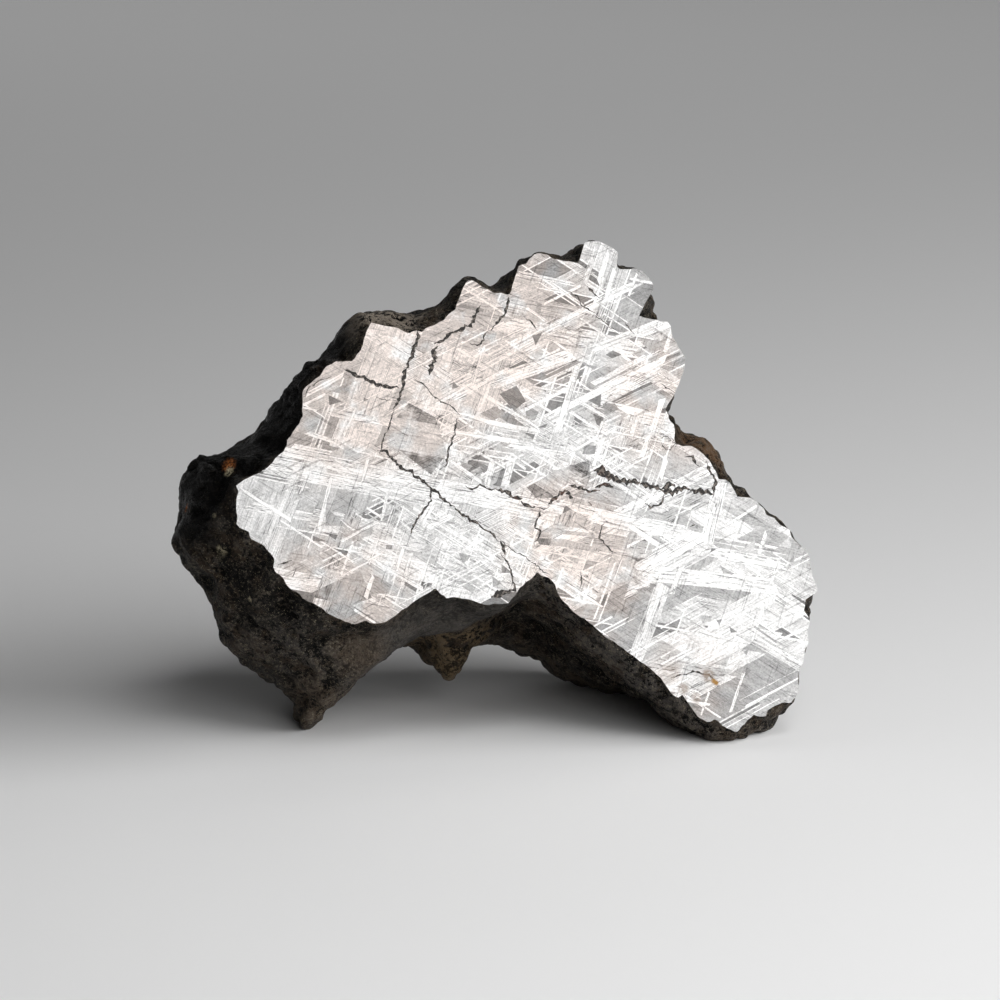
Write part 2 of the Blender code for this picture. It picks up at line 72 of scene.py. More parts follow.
# The edge of the cut, clockwise from its left tip: (across, up) in mm.
cutEdge = [
    (-37.0, 1.7), (-36.0, 2.3), (-35.2, 2.7), (-33.9, 3.1), (-32.8, 3.8), (-31.8, 4.8), (-30.7, 5.6),
    (-30.0, 6.9), (-29.4, 8.0), (-28.4, 8.9), (-27.9, 9.8), (-27.8, 11.4), (-27.7, 12.7), (-27.3, 13.2),
    (-26.4, 13.9), (-25.4, 14.5), (-24.9, 15.1), (-24.3, 15.9), (-23.5, 16.2), (-22.1, 16.3),
    (-21.3, 16.2), (-20.7, 16.8), (-20.0, 17.6), (-19.3, 19.1), (-18.8, 20.2), (-18.4, 20.8),
    (-17.7, 20.7), (-16.5, 20.4), (-15.2, 20.1), (-14.3, 19.5), (-13.7, 19.2), (-12.8, 19.5),
    (-12.1, 19.4), (-11.6, 19.8), (-10.0, 20.2), (-9.1, 20.7), (-8.2, 21.6), (-7.5, 22.1), (-7.2, 22.9),
    (-6.5, 24.1), (-5.9, 25.1), (-5.4, 25.5), (-4.8, 25.4), (-4.1, 24.7), (-3.4, 24.3), (-2.5, 23.9),
    (-1.3, 23.6), (-0.7, 23.4), (-0.2, 23.8), (0.1, 24.8), (0.7, 26.0), (1.0, 26.9), (2.2, 27.2),
    (2.5, 27.8), (3.3, 28.4), (4.0, 28.5), (4.9, 28.0), (5.7, 27.6), (7.0, 27.3), (8.1, 27.1),
    (8.7, 27.0), (9.0, 27.4), (9.1, 28.2), (9.2, 28.9), (9.6, 29.4), (10.4, 29.7), (11.7, 29.4),
    (12.6, 29.0), (13.5, 28.5), (14.0, 27.9), (13.9, 27.3), (13.7, 26.6), (13.9, 26.1), (14.3, 25.9),
    (16.0, 25.8), (17.0, 25.3), (17.7, 24.6), (18.0, 23.9), (18.2, 23.1), (17.9, 22.6), (17.3, 22.3),
    (16.9, 21.5), (16.5, 20.6), (15.9, 19.7), (16.9, 19.4), (18.3, 19.1), (19.5, 18.8), (19.9, 18.4),
    (20.1, 17.2), (20.4, 16.3), (21.0, 15.2), (21.4, 14.3), (21.5, 13.5), (21.2, 12.5), (20.4, 11.2),
    (19.9, 10.2), (19.4, 9.4), (18.3, 7.8), (18.6, 6.7), (19.2, 5.8), (19.2, 5.0), (19.1, 4.0),
    (19.3, 3.3), (20.0, 3.0), (21.0, 3.0), (21.8, 2.6), (22.6, 1.9), (23.4, 1.0), (23.8, 0.4),
    (24.1, -0.6), (24.5, -1.5), (25.1, -1.4), (25.8, -2.0), (26.2, -2.8), (26.5, -3.8), (27.2, -3.5),
    (28.3, -4.0), (29.1, -4.7), (29.9, -5.5), (30.3, -6.5), (31.1, -6.8), (31.8, -7.7), (33.0, -8.4),
    (33.3, -9.4), (33.8, -10.1), (34.2, -10.6), (34.7, -10.4), (35.1, -11.2), (35.3, -12.7),
    (35.4, -14.2), (35.7, -15.3), (35.8, -16.3), (35.3, -16.9), (34.2, -17.3), (33.9, -18.8),
    (34.5, -19.7), (34.2, -21.5), (33.9, -23.1), (33.1, -25.0), (32.4, -26.8), (32.1, -28.6),
    (31.6, -29.6), (31.0, -30.1), (29.9, -30.1), (28.9, -30.5), (27.9, -30.9), (27.5, -31.5),
    (26.6, -31.6), (26.0, -31.2), (25.2, -32.0), (24.3, -32.6), (23.5, -33.3), (22.9, -32.9),
    (22.1, -32.5), (21.6, -32.1), (21.5, -31.6), (20.8, -31.4), (20.0, -31.8), (19.3, -31.3),
    (18.8, -31.0), (18.8, -30.0), (18.3, -29.4), (17.8, -28.5), (17.2, -27.9), (16.4, -28.4),
    (15.6, -27.8), (15.2, -27.1), (15.2, -26.2), (14.8, -25.8), (13.6, -24.9), (12.6, -24.0),
    (11.9, -23.4), (10.1, -21.9), (8.9, -20.9), (7.7, -20.0), (7.3, -19.6), (6.3, -18.5), (5.3, -17.7),
    (4.2, -17.0), (3.4, -16.0), (2.6, -15.1), (2.2, -14.2), (2.0, -13.1), (1.4, -12.4), (0.5, -12.1),
    (-0.1, -11.5), (-0.7, -12.1), (-1.6, -12.6), (-2.4, -13.2), (-3.0, -13.9), (-3.4, -14.4),
    (-4.2, -15.1), (-4.9, -15.3), (-5.8, -15.0), (-6.5, -15.2), (-7.4, -15.1), (-8.5, -14.7),
    (-9.5, -14.2), (-11.0, -14.0), (-11.9, -13.9), (-12.7, -13.1), (-13.3, -12.7), (-14.0, -13.1),
    (-14.9, -13.5), (-16.1, -14.1), (-17.0, -14.8), (-17.8, -15.1), (-18.4, -15.8), (-19.8, -16.3),
    (-20.9, -16.5), (-22.1, -16.1), (-22.8, -16.1), (-23.2, -16.3), (-24.1, -16.3), (-25.0, -15.9),
    (-25.8, -15.4), (-26.8, -14.8), (-27.7, -14.0), (-29.0, -13.3), (-29.8, -12.7), (-30.1, -12.2),
    (-31.0, -11.8), (-31.5, -11.2), (-31.9, -10.2), (-32.8, -9.4), (-33.1, -8.7), (-32.9, -7.8),
    (-33.3, -7.0), (-34.0, -6.1), (-35.1, -5.4), (-35.7, -4.9), (-35.9, -4.1), (-36.9, -3.6),
    (-37.4, -3.1), (-37.1, -2.1), (-37.1, -0.9), (-36.9, 0.1), (-36.6, 0.9), (-36.9, 1.3),
]

# How far the lump reaches from the line behind its middle, in mm, at each of these depths.
reachDepths = [0.0, 2.5, 6.0, 11.0, 17.0, 23.0, 28.0]
# One row for each bearing in degrees: from the left tip over the top, down the right, and back underneath.
reach = [
    (180, 37.1, 39.3, 41.3, 42.2, 40.6, 35.0, 23.0),
    (176, 36.0, 37.6, 39.8, 41.2, 40.0, 34.6, 23.0),
    (172, 32.5, 35.0, 38.2, 39.8, 38.0, 33.0, 22.5),
    (168, 31.0, 33.2, 35.2, 36.0, 34.6, 30.5, 21.0),
    (160, 29.6, 31.4, 32.6, 32.4, 31.0, 27.8, 20.0),
    (155, 30.5, 31.5, 32.3, 32.0, 30.6, 27.0, 19.0),
    (150, 29.2, 30.8, 31.5, 31.4, 30.4, 27.2, 19.4),
    (141, 26.8, 28.6, 29.4, 29.2, 28.6, 26.2, 19.0),
    (133, 27.8, 29.2, 29.9, 29.4, 28.2, 25.6, 18.6),
    (126, 25.0, 27.6, 29.4, 28.6, 27.0, 24.4, 17.2),
    (119, 22.8, 24.6, 25.8, 26.4, 25.8, 23.4, 16.0),
    (109, 23.2, 24.2, 24.8, 25.4, 25.2, 22.6, 15.0),
    (101, 26.0, 26.4, 26.6, 26.2, 25.2, 22.0, 14.5),
    (93, 23.4, 24.2, 25.2, 26.0, 25.4, 21.8, 14.2),
    (87, 27.0, 27.4, 27.2, 26.8, 25.6, 21.8, 14.0),
    (80, 28.6, 29.0, 29.2, 28.2, 25.8, 21.6, 14.0),
    (73, 28.6, 29.2, 29.4, 28.6, 26.2, 21.8, 14.0),
    (69, 31.6, 32.1, 32.4, 30.4, 26.8, 22.0, 14.0),
    (62, 30.0, 30.2, 30.8, 30.2, 27.2, 22.2, 14.0),
    (56, 30.4, 30.6, 30.8, 30.2, 27.6, 22.4, 14.4),
    (50, 27.0, 29.0, 30.2, 30.0, 27.6, 22.6, 14.8),
    (45, 27.0, 28.0, 29.0, 29.2, 27.2, 22.6, 15.0),
    (38, 26.2, 26.8, 27.8, 28.6, 27.0, 22.8, 15.2),
    (32, 25.4, 25.8, 26.6, 27.4, 26.8, 23.0, 15.6),
    (26, 21.6, 22.2, 23.4, 24.8, 26.0, 24.0, 18.0),
    (22, 19.8, 20.4, 21.6, 23.2, 25.0, 24.0, 18.0),
    (15, 19.8, 20.8, 22.4, 24.2, 25.5, 24.6, 18.4),
    (10, 19.8, 22.2, 25.0, 26.4, 27.0, 25.4, 19.0),
    (4, 22.9, 24.8, 27.0, 28.2, 28.4, 26.2, 19.4),
    (-3, 24.8, 26.6, 28.8, 30.0, 29.8, 27.0, 19.8),
    (-8, 27.6, 29.4, 31.8, 32.6, 31.4, 28.0, 20.2),
    (-12, 31.0, 32.0, 34.4, 34.6, 33.0, 28.6, 20.4),
    (-18, 36.8, 37.0, 38.0, 37.0, 34.6, 29.4, 20.8),
    (-24, 39.2, 39.3, 39.4, 38.2, 35.4, 30.0, 21.0),
    (-31, 40.0, 40.4, 40.2, 38.6, 35.8, 30.4, 21.2),
    (-38, 41.8, 42.2, 41.6, 39.4, 36.0, 30.6, 21.4),
    (-44, 43.2, 43.8, 43.0, 40.6, 36.2, 30.6, 21.4),
    (-49, 41.8, 43.6, 44.2, 40.8, 35.6, 31.0, 23.0),
    (-55, 40.8, 42.2, 41.2, 37.6, 33.6, 31.0, 24.5),
    (-59, 36.3, 40.0, 39.2, 35.0, 31.2, 29.6, 25.0),
    (-62, 27.8, 35.6, 35.6, 31.4, 29.2, 28.7, 24.8),
    (-65, 24.6, 28.0, 29.6, 28.4, 27.6, 27.2, 23.8),
    (-70, 20.6, 22.6, 24.6, 24.0, 24.7, 25.2, 21.7),
    (-75, 18.0, 19.0, 21.0, 20.3, 21.6, 22.2, 19.5),
    (-82, 13.2, 15.2, 16.0, 15.8, 18.6, 20.4, 16.5),
    (-90, 11.6, 13.2, 14.0, 14.0, 17.0, 19.0, 15.8),
    (-96, 12.5, 13.6, 14.4, 14.6, 18.0, 18.8, 15.5),
    (-104, 15.0, 15.6, 16.2, 16.6, 20.5, 21.0, 15.5),
    (-110, 16.2, 17.0, 17.6, 18.0, 23.6, 23.2, 16.0),
    (-116, 16.8, 17.8, 18.8, 18.8, 23.0, 22.6, 17.5),
    (-122, 17.0, 17.8, 21.2, 20.2, 21.4, 21.2, 19.6),
    (-128, 17.8, 18.9, 23.0, 22.4, 22.0, 22.6, 22.6),
    (-131, 18.1, 19.6, 25.2, 24.6, 24.2, 25.4, 25.0),
    (-132, 18.2, 20.0, 26.0, 25.6, 25.2, 27.4, 26.2),
    (-133, 18.3, 20.4, 27.2, 27.0, 28.0, 32.6, 27.6),
    (-133.8, 18.4, 20.7, 28.2, 29.0, 36.0, 36.0, 28.6),
    (-134.6, 18.7, 21.2, 29.2, 32.5, 39.2, 36.9, 29.6),
    (-136.2, 19.2, 22.4, 30.2, 35.8, 39.4, 37.2, 30.8),
    (-140, 25.0, 26.4, 31.4, 36.2, 37.4, 36.0, 31.6),
    (-145, 28.4, 30.6, 33.8, 36.6, 38.2, 35.8, 31.0),
    (-152, 31.0, 33.2, 35.8, 38.8, 40.2, 36.2, 28.0),
    (-158, 33.0, 34.6, 37.4, 40.6, 41.2, 36.0, 24.0),
    (-163, 33.8, 35.8, 38.6, 41.2, 40.8, 36.0, 24.0),
    (-167, 34.0, 36.0, 38.8, 41.4, 40.6, 36.0, 24.0),
    (-170, 34.8, 36.6, 40.0, 42.6, 41.2, 36.0, 24.0),
    (-175, 37.3, 38.4, 41.2, 42.6, 41.2, 36.0, 23.8),
]

# Knobs (+) and hollows (-) of the crust, some of them only here: across, up, depth, radius and height in mm.
knobs = [
    (-40.0, 4.0, 10.0, 4.5, 1.3),  # upper lobe of the left end
    (-42.0, 0.2, 10.0, 1.8, -1.5),  # groove under it
    (-42.8, -4.0, 11.0, 3.8, 0.8),  # lower lobe of the left end
    (-41.0, -9.4, 11.0, 2.6, -1.9),  # notch under that
    (-35.4, 6.6, 8.0, 2.4, -0.8),  # saddle above the left end
    (-33.0, -20.5, 14.0, 4.0, -0.8),  # hollow above the left foot
    (-8.8, -23.2, 19.0, 2.8, 2.2),  # tip of the knob that hangs in the arch
    (-14.0, -19.0, 19.0, 2.6, -0.9),  # dip beside it
    (-31.4, -22.2, 12.5, 2.4, 1.1),  # bump above the left foot
    (-29.2, -24.8, 12.5, 1.7, -1.0),  # notch under it
    (-24.0, -18.6, 4.6, 3.6, -1.0),  # rounded end of the smooth scoop
    (-28.0, -20.6, 7.2, 1.9, 0.9),  # lip round that end
    (-25.4, -22.4, 8.0, 1.9, 0.9),
    (-21.6, -22.6, 7.4, 1.8, 0.7),
    (-33.0, -15.0, 9.0, 2.6, 0.8),  # swells on the left end, under the lobes
    (-37.4, -13.4, 13.0, 2.6, 0.7),
    (6.0, 12.0, 30.0, 9.0, 1.2),  # swell high on the back
    (-18.0, 2.0, 28.0, 8.0, -1.4),  # broad hollow low on the back
    (-9.0, 24.0, 14.0, 5.0, -1.4),  # hollow on the top, behind the cut
    (8.0, 27.0, 17.0, 5.5, -1.6),  # another beside it
    (0.0, 25.0, 20.0, 4.0, 1.0),  # ridge between them
    (19.0, 19.0, 14.0, 5.0, -1.2),  # hollow on the upper right
    (30.0, 2.0, 14.0, 5.0, -0.8),  # dent on the right shoulder
]

# Low relief on the crust: sizes, heights and depths in mm. A seed moves a noise to a place of its own.
crustRelief = {
    "lumps": [(12.0, 0.3, 1.5), (5.5, 0.3, 0.8), (2.6, 0.2, 0.35)],  # size, height on the rim and on the back
    "thumbprints": [(9.5, 0.4, 2.4), (5.0, 0.35, 0.8)],  # spacing, depth on the rim and on the back
    "thumbprintMean": 0.37,
    "rimHeights": (-18, -12, 8, 14),
    "rimDepths": (27, 17, 17, 9),  # how deep the rim reaches at those heights
    "rimFade": 8.0,
    "start": 2.5,  # depth over which the relief grows from nothing at the cut
    "fine": [(1.5, 0.16), (0.8, 0.13)],  # size and height of the crust's roughness
    "fineSeed": 3,  # times the size
    "creases": [(6.5, 0.75), (3.1, 0.5), (1.6, 0.26)],  # size and height of lumps with creases between
    "creaseBend": (5.0, 9.0, 0.8),  # size, seed and strength of what bends the creases
    "creaseShape": (1.6, 0.5, 0.4),  # steepness, flat top and level
    "pits": (2.9, 0.45),  # spacing and depth of small pits
    "pitPatches": (9.0, 40.0, 0.4),  # size, seed and level of the places that have them
    "pitSeed": 11.0,
    "pitSharpness": 1.5,
    "roughStart": 1.2,
    "roughPasses": 2,
    "nicks": (0.7, 5.0, 0.16, 1.0),  # in the cut's edge: size, seed, height, and how deep they run
    "smoothPlaces": [(-13.0, -18.0, 3.0, 7.0), (-4.0, -16.0, 3.0, 5.0), (-20.0, -21.0, 5.0, 5.0)],
    "smoothing": 0.85,  # share of the roughness that those places lack
}

# How whole numbers are scrambled, and the shape of a round hollow.
scramble = {
    "factors": (73856093, 19349663, 83492791), "down": 13, "mixer": 1274126177, "kept": 0x7FFFFFFF,
    "dropped": 8, "top": 0xFFFF,
}
hollow = {"centreSeeds": (7, 14, 21), "radiusSeed": 31, "radius": 0.55, "radiusMore": 0.35, "sharpness": 1.5}


def smoothCurve(x, y, at):
    # cubic spans through (x, y); each slope is the harmonic mean of its two chords, so nothing overshoots
    column = (-1,) + (1,) * (y.ndim - 1)
    chord = np.diff(y, axis=0) / np.diff(x).reshape(column)
    together = chord[:-1] * chord[1:]
    total = chord[:-1] + chord[1:]
    inner = np.where(together > 0, 2 * together / np.where(total == 0, 1, total), 0)
    slope = np.concatenate([chord[:1], inner, chord[-1:]])
    i = np.clip(np.searchsorted(x, at) - 1, 0, len(x) - 2)
    width = (x[i + 1] - x[i]).reshape(column)
    u = (at - x[i]).reshape(column) / width
    start = y[i] * (1 + 2 * u) * (1 - u) ** 2 + slope[i] * width * u * (1 - u) ** 2
    return start + y[i + 1] * u * u * (3 - 2 * u) + slope[i + 1] * width * u * u * (u - 1)


def reachAt(bearings):
    # the rows of the reach table joined by a smooth closed curve, then drawn in to nothing at the back
    table = np.array(reach[::-1], dtype=float)
    x = np.concatenate([table[-3:, 0] - 360, table[:, 0], table[:3, 0] + 360])
    y = np.concatenate([table[-3:, 1:], table[:, 1:], table[:3, 1:]])
    found = smoothCurve(x, y, bearings)
    drawnIn = lump["drawnInOwn"] * found[:, -1:] + lump["drawnInMean"] * table[:, -1].mean()
    return np.concatenate([found, drawnIn, 0 * drawnIn], axis=1)


def edgeAt(bearings):
    # distance of the cut's edge from the middle, along straight lines between its points
    edge = np.array(cutEdge)
    angle = np.degrees(np.unwrap(np.arctan2(edge[:, 1], edge[:, 0])))
    always = 0.001 * np.arange(len(edge))  # keeps the bearings falling where the edge turns back
    angle = (np.minimum.accumulate(angle) - always)[::-1]
    distance = np.hypot(edge[:, 0], edge[:, 1])[::-1]
    angle = np.concatenate([angle - 360, angle, angle + 360])
    return np.interp(bearings, angle, np.tile(distance, 3))


def ringAt(bearings, share):
    # ring at a share of the way from the cut to the back: radius from the reach table, depth along its curve,
    # the cut's own notches fading with depth, and the back bulging out low down
    depths = np.array(reachDepths + [lump["drawnInDepth"], lump["backDepth"]])
    meanReach = reachAt(np.arange(-180.0, 180.0)).mean(axis=0)
    step = np.hypot(np.diff(depths), np.diff(meanReach))
    along = np.concatenate([[0], np.cumsum(step)]) / step.sum()
    depth = smoothCurve(along, depths, np.array([share]))[0]
    found = reachAt(bearings)
    radius = smoothCurve(along, found.T, np.array([share]))[0]
    radius = radius + (edgeAt(bearings) - found[:, 0]) * np.exp(-depth / lump["edgeFade"])
    angle = np.radians(bearings)
    nearness = np.clip((depth - lump["bulgeFrom"]) / (lump["backDepth"] - lump["bulgeFrom"]), 0, 1)
    lowness = np.cos(angle - np.radians(lump["bulgeBearing"]))
    bulge = lump["backBulge"] * radius / lump["bulgeRadius"] * lowness * nearness**2
    return np.stack([radius * np.cos(angle), radius * np.sin(angle), depth + bulge], axis=-1)


def spread(shares):
    # bearings of the columns, spaced evenly along the rings at these shares
    fine = np.linspace(-180, 180, lump["fineBearings"])
    length = sum(np.linalg.norm(np.diff(ringAt(fine, share), axis=0), axis=1) for share in shares)
    along = np.concatenate([[0], np.cumsum(length)])
    return np.interp(np.arange(lump["columns"]) / lump["columns"] * along[-1], along, fine)


def eased(value, start, end):
    # 0 before start, 1 after end, with a smooth S between
    u = np.clip((value - start) / (end - start), 0, 1)
    return u * u * (3 - 2 * u)


def crustRings():
    # rings from the cut to the back; columns follow the cut's notches, then the sides, then even bearings
    byEdge = spread(lump["edgeSpread"])
    bySide = spread(lump["sideSpread"])
    byBack = -180 + 360 * np.arange(lump["columns"]) / lump["columns"]
    rings = []
    for share in np.arange(lump["rows"]) / lump["rows"]:
        bearings = byEdge + (bySide - byEdge) * eased(share, *lump["toSide"])
        bearings = bearings + (byBack - bearings) * eased(share, *lump["toBack"])
        rings.append(ringAt(bearings, share))
    return np.array(rings)


def lattice(cell):
    # a repeatable number from 0 to 1 for each whole-number lattice point
    x, y, z = (cell[..., i].astype(np.int64) * factor for i, factor in enumerate(scramble["factors"]))
    mixed = x ^ y ^ z
    mixed = ((mixed ^ (mixed >> scramble["down"])) * scramble["mixer"]) & scramble["kept"]
    return ((mixed >> scramble["dropped"]) & scramble["top"]) / scramble["top"]


def softNoise(points):
    # lattice numbers blended across each unit cube, from -1 to 1
    cell = np.floor(points)
    u = points - cell
    u = u * u * (3 - 2 * u)
    value = 0
    for corner in np.ndindex(2, 2, 2):
        weight = np.prod(np.where(np.array(corner) == 1, u, 1 - u), axis=-1)
        value = value + weight * lattice(cell + np.array(corner))
    return 2 * value - 1


def thumbprints(points):
    # depth from 0 to 1 of round hollows, one in each unit cube: (1 - (distance / radius)^2)^sharpness
    cell = np.floor(points)
    deepest = np.zeros(points.shape[:-1])
    for step in np.ndindex(3, 3, 3):
        home = cell + np.array(step) - 1
        centre = home + np.stack([lattice(home + seed) for seed in hollow["centreSeeds"]], axis=-1)
        radius = hollow["radius"] + hollow["radiusMore"] * lattice(home + hollow["radiusSeed"])
        inside = 1 - (np.linalg.norm(points - centre, axis=-1) / radius) ** 2
        deepest = np.maximum(deepest, np.clip(inside, 0, 1) ** hollow["sharpness"])
    return deepest


def unit(vectors):
    # the same directions, one long
    return vectors / np.maximum(np.linalg.norm(vectors, axis=-1, keepdims=True), lump["leastLength"])


def outward(points, passes):
    # outward directions on the rings, evened out between neighbours
    along = np.roll(points, -1, axis=1) - np.roll(points, 1, axis=1)
    normal = unit(np.cross(along, np.gradient(points, axis=0)))
    for _ in range(passes):
        padded = np.concatenate([normal[:1], normal, normal[-1:]])
        sides = np.roll(normal, 1, axis=1) + np.roll(normal, -1, axis=1)
        normal = unit(normal + sides + padded[:-2] + padded[2:])
    return normal


def evened(rings, passes):
    # each point drawn halfway to the mean of its neighbours, except on the first and last ring
    for _ in range(passes):
        sides = np.roll(rings, 1, axis=1) + np.roll(rings, -1, axis=1)
        mean = (sides[1:-1] + rings[:-2] + rings[2:]) / 4
        rings = np.concatenate([rings[:1], (rings[1:-1] + mean) / 2, rings[-1:]])
    return rings


def bell(points, place, radius):
    # 1 at a place, falling to 0 round it: exp(-(distance / radius)^2)
    distance = np.linalg.norm(points - np.array(place), axis=-1)
    return np.exp(-((distance / radius) ** 2))


def relief(points):
    # soft noise and round hollows that grow from the rim to the back, and the knobs; nothing along the edge
    depth = points[..., 2]
    rim = np.interp(points[..., 1], crustRelief["rimHeights"], crustRelief["rimDepths"])
    back = np.clip((depth - rim) / crustRelief["rimFade"], 0, 1)
    height = 0
    for size, onRim, onBack in crustRelief["lumps"]:
        height = height + (onRim + (onBack - onRim) * back) * softNoise(points / size + size)
    for spacing, onRim, onBack in crustRelief["thumbprints"]:
        dip = thumbprints(points / spacing) - crustRelief["thumbprintMean"]
        height = height - (onRim + (onBack - onRim) * back) * dip
    for *place, radius, tall in knobs:
        height = height + tall * bell(points, place, radius)
    return height * np.clip(depth / crustRelief["start"], 0, 1)


def roughness(points):
    # fine grain, creased lumps and small pits, quieter on the smooth scoop under the cut;
    # a crease runs where a soft noise passes through zero
    smooth = 0
    for *place, radius in crustRelief["smoothPlaces"]:
        smooth = np.maximum(smooth, bell(points, place, radius))
    seed = crustRelief["fineSeed"]
    height = sum(tall * softNoise(points / size + seed * size) for size, tall in crustRelief["fine"])
    size, seed, strength = crustRelief["creaseBend"]
    bend = strength * softNoise(points / size + seed)[..., None]
    steepness, top, level = crustRelief["creaseShape"]
    for size, tall in crustRelief["creases"]:
        ridge = np.minimum(np.abs(softNoise(points / size + bend + size)), top)
        height = height + tall * (steepness * ridge - level)
    size, seed, level = crustRelief["pitPatches"]
    patchy = np.clip(softNoise(points / size + seed) + level, 0, 1)
    spacing, deep = crustRelief["pits"]
    pits = thumbprints(points / spacing + crustRelief["pitSeed"]) ** crustRelief["pitSharpness"]
    height = height - deep * patchy * pits
    fromCut = np.clip(points[..., 2] / crustRelief["roughStart"], 0, 1)
    return height * (1 - crustRelief["smoothing"] * smooth) * fromCut


def inFrame(points):
    # a place on the lump in the frame's metres: middle + across * right + up * up - depth * facing
    lean, turn = np.radians([lump["lean"], lump["turn"]])
    right = np.array([np.cos(turn), np.sin(turn), 0])
    facing = np.array([np.sin(turn) * np.cos(lean), -np.cos(turn) * np.cos(lean), np.sin(lean)])
    along = points[..., 0:1] * right + points[..., 1:2] * np.cross(facing, right)
    return (np.array(lump["middle"]) + along - points[..., 2:3] * facing) * mm


# The etched cut: iron plates in the directions of one crystal, cut across. Angles in degrees, sizes in mm.
# Each kind of plate has its count, the ranges of its half-width and length, how many may lie side by side and
# how far apart, its brightness, and how strongly it is lined.
etch = {
    "seed": 11,
    "angles": (22.5, -36.7, 64.5, -14.6),
    "share": (0.34, 0.24, 0.20, 0.22),  # how often each direction comes
    "angleSpread": 0.9,
    "seeds": (0, 100),
    "fields": {
        "count": 46, "half": (1.3, 3.0), "length": (8, 22), "packet": 1, "gap": 0,
        "shade": (0.6, 0.86), "lined": 0.35,
    },
    "bundles": {
        "count": 54, "half": (0.5, 1.4), "length": (6, 20), "packet": 1, "gap": 0,
        "shade": (0.7, 0.93), "lined": 1.0,
    },
    "blades": {
        "count": 120, "half": (0.06, 0.17), "length": (3, 16), "packet": 4, "gap": 0.4,
        "shade": (0.82, 0.97), "lined": 0.2,
    },
    "gapSpread": (0.4, 1.8),
    "lengthSpread": (0.6, 1.1),  # of the next plate in a packet
    "darks": {  # small triangles; those longer than this many times their size are left out
        "count": 46, "size": (0.3, 0.85), "reach": 0.6, "longest": 4.5, "half": 2.0,
        "shade": (0.42, 0.68), "lined": 0.25,
    },
    "edges": {  # the blades round them, which run on past their corners
        "half": (0.08, 0.18), "outside": 0.9, "beyond": (0.5, 3.0), "slant": 1.1,
        "shade": (0.92, 1), "lined": 0.2,
    },
    "placedFields": {"half": 2.0, "lined": 0.4, "lift": 0.14},  # lift raises the brightness that was read
    "placedBands": {
        "slants": (-58, 60, 42, -75), "shade": (0.88, 0.96), "broad": 0.55, "lined": 1.0, "thinLined": 0.6,
    },
    # where no plate lies: a field smaller than this many square mm is often dark
    "bare": {
        "seed": 13, "shade": (0.5, 0.8), "small": 2.2, "often": 0.55, "dark": 0.42, "half": 2.5, "lined": 0.4,
    },
    "crack": {
        "seed": 12, "wide": 1.02, "step": 0.27, "leastPoints": 4, "taper": 0.7, "leastTaper": 0.3,
        "wander": 0.15, "wanderEvery": 3, "shake": 0.05, "ragged": (0.15, 1.85),
    },
    "rimGap": 0.03,  # lines stop this short of the cut's edge
    "shortest": 0.05,
    "leastCross": 1e-12,  # keeps the division by a cross product from failing on parallel lines
    "weld": 1e-3,
}
# The map shows the cut in its upper part, and the crust unrolled in a strip under it.
faceMap = {
    "left": 0.01, "wide": 0.98, "stripTop": 0.31, "stripTall": 0.3, "cutScale": 0.0102,
    "cutMiddle": (0.505, 0.685),
}

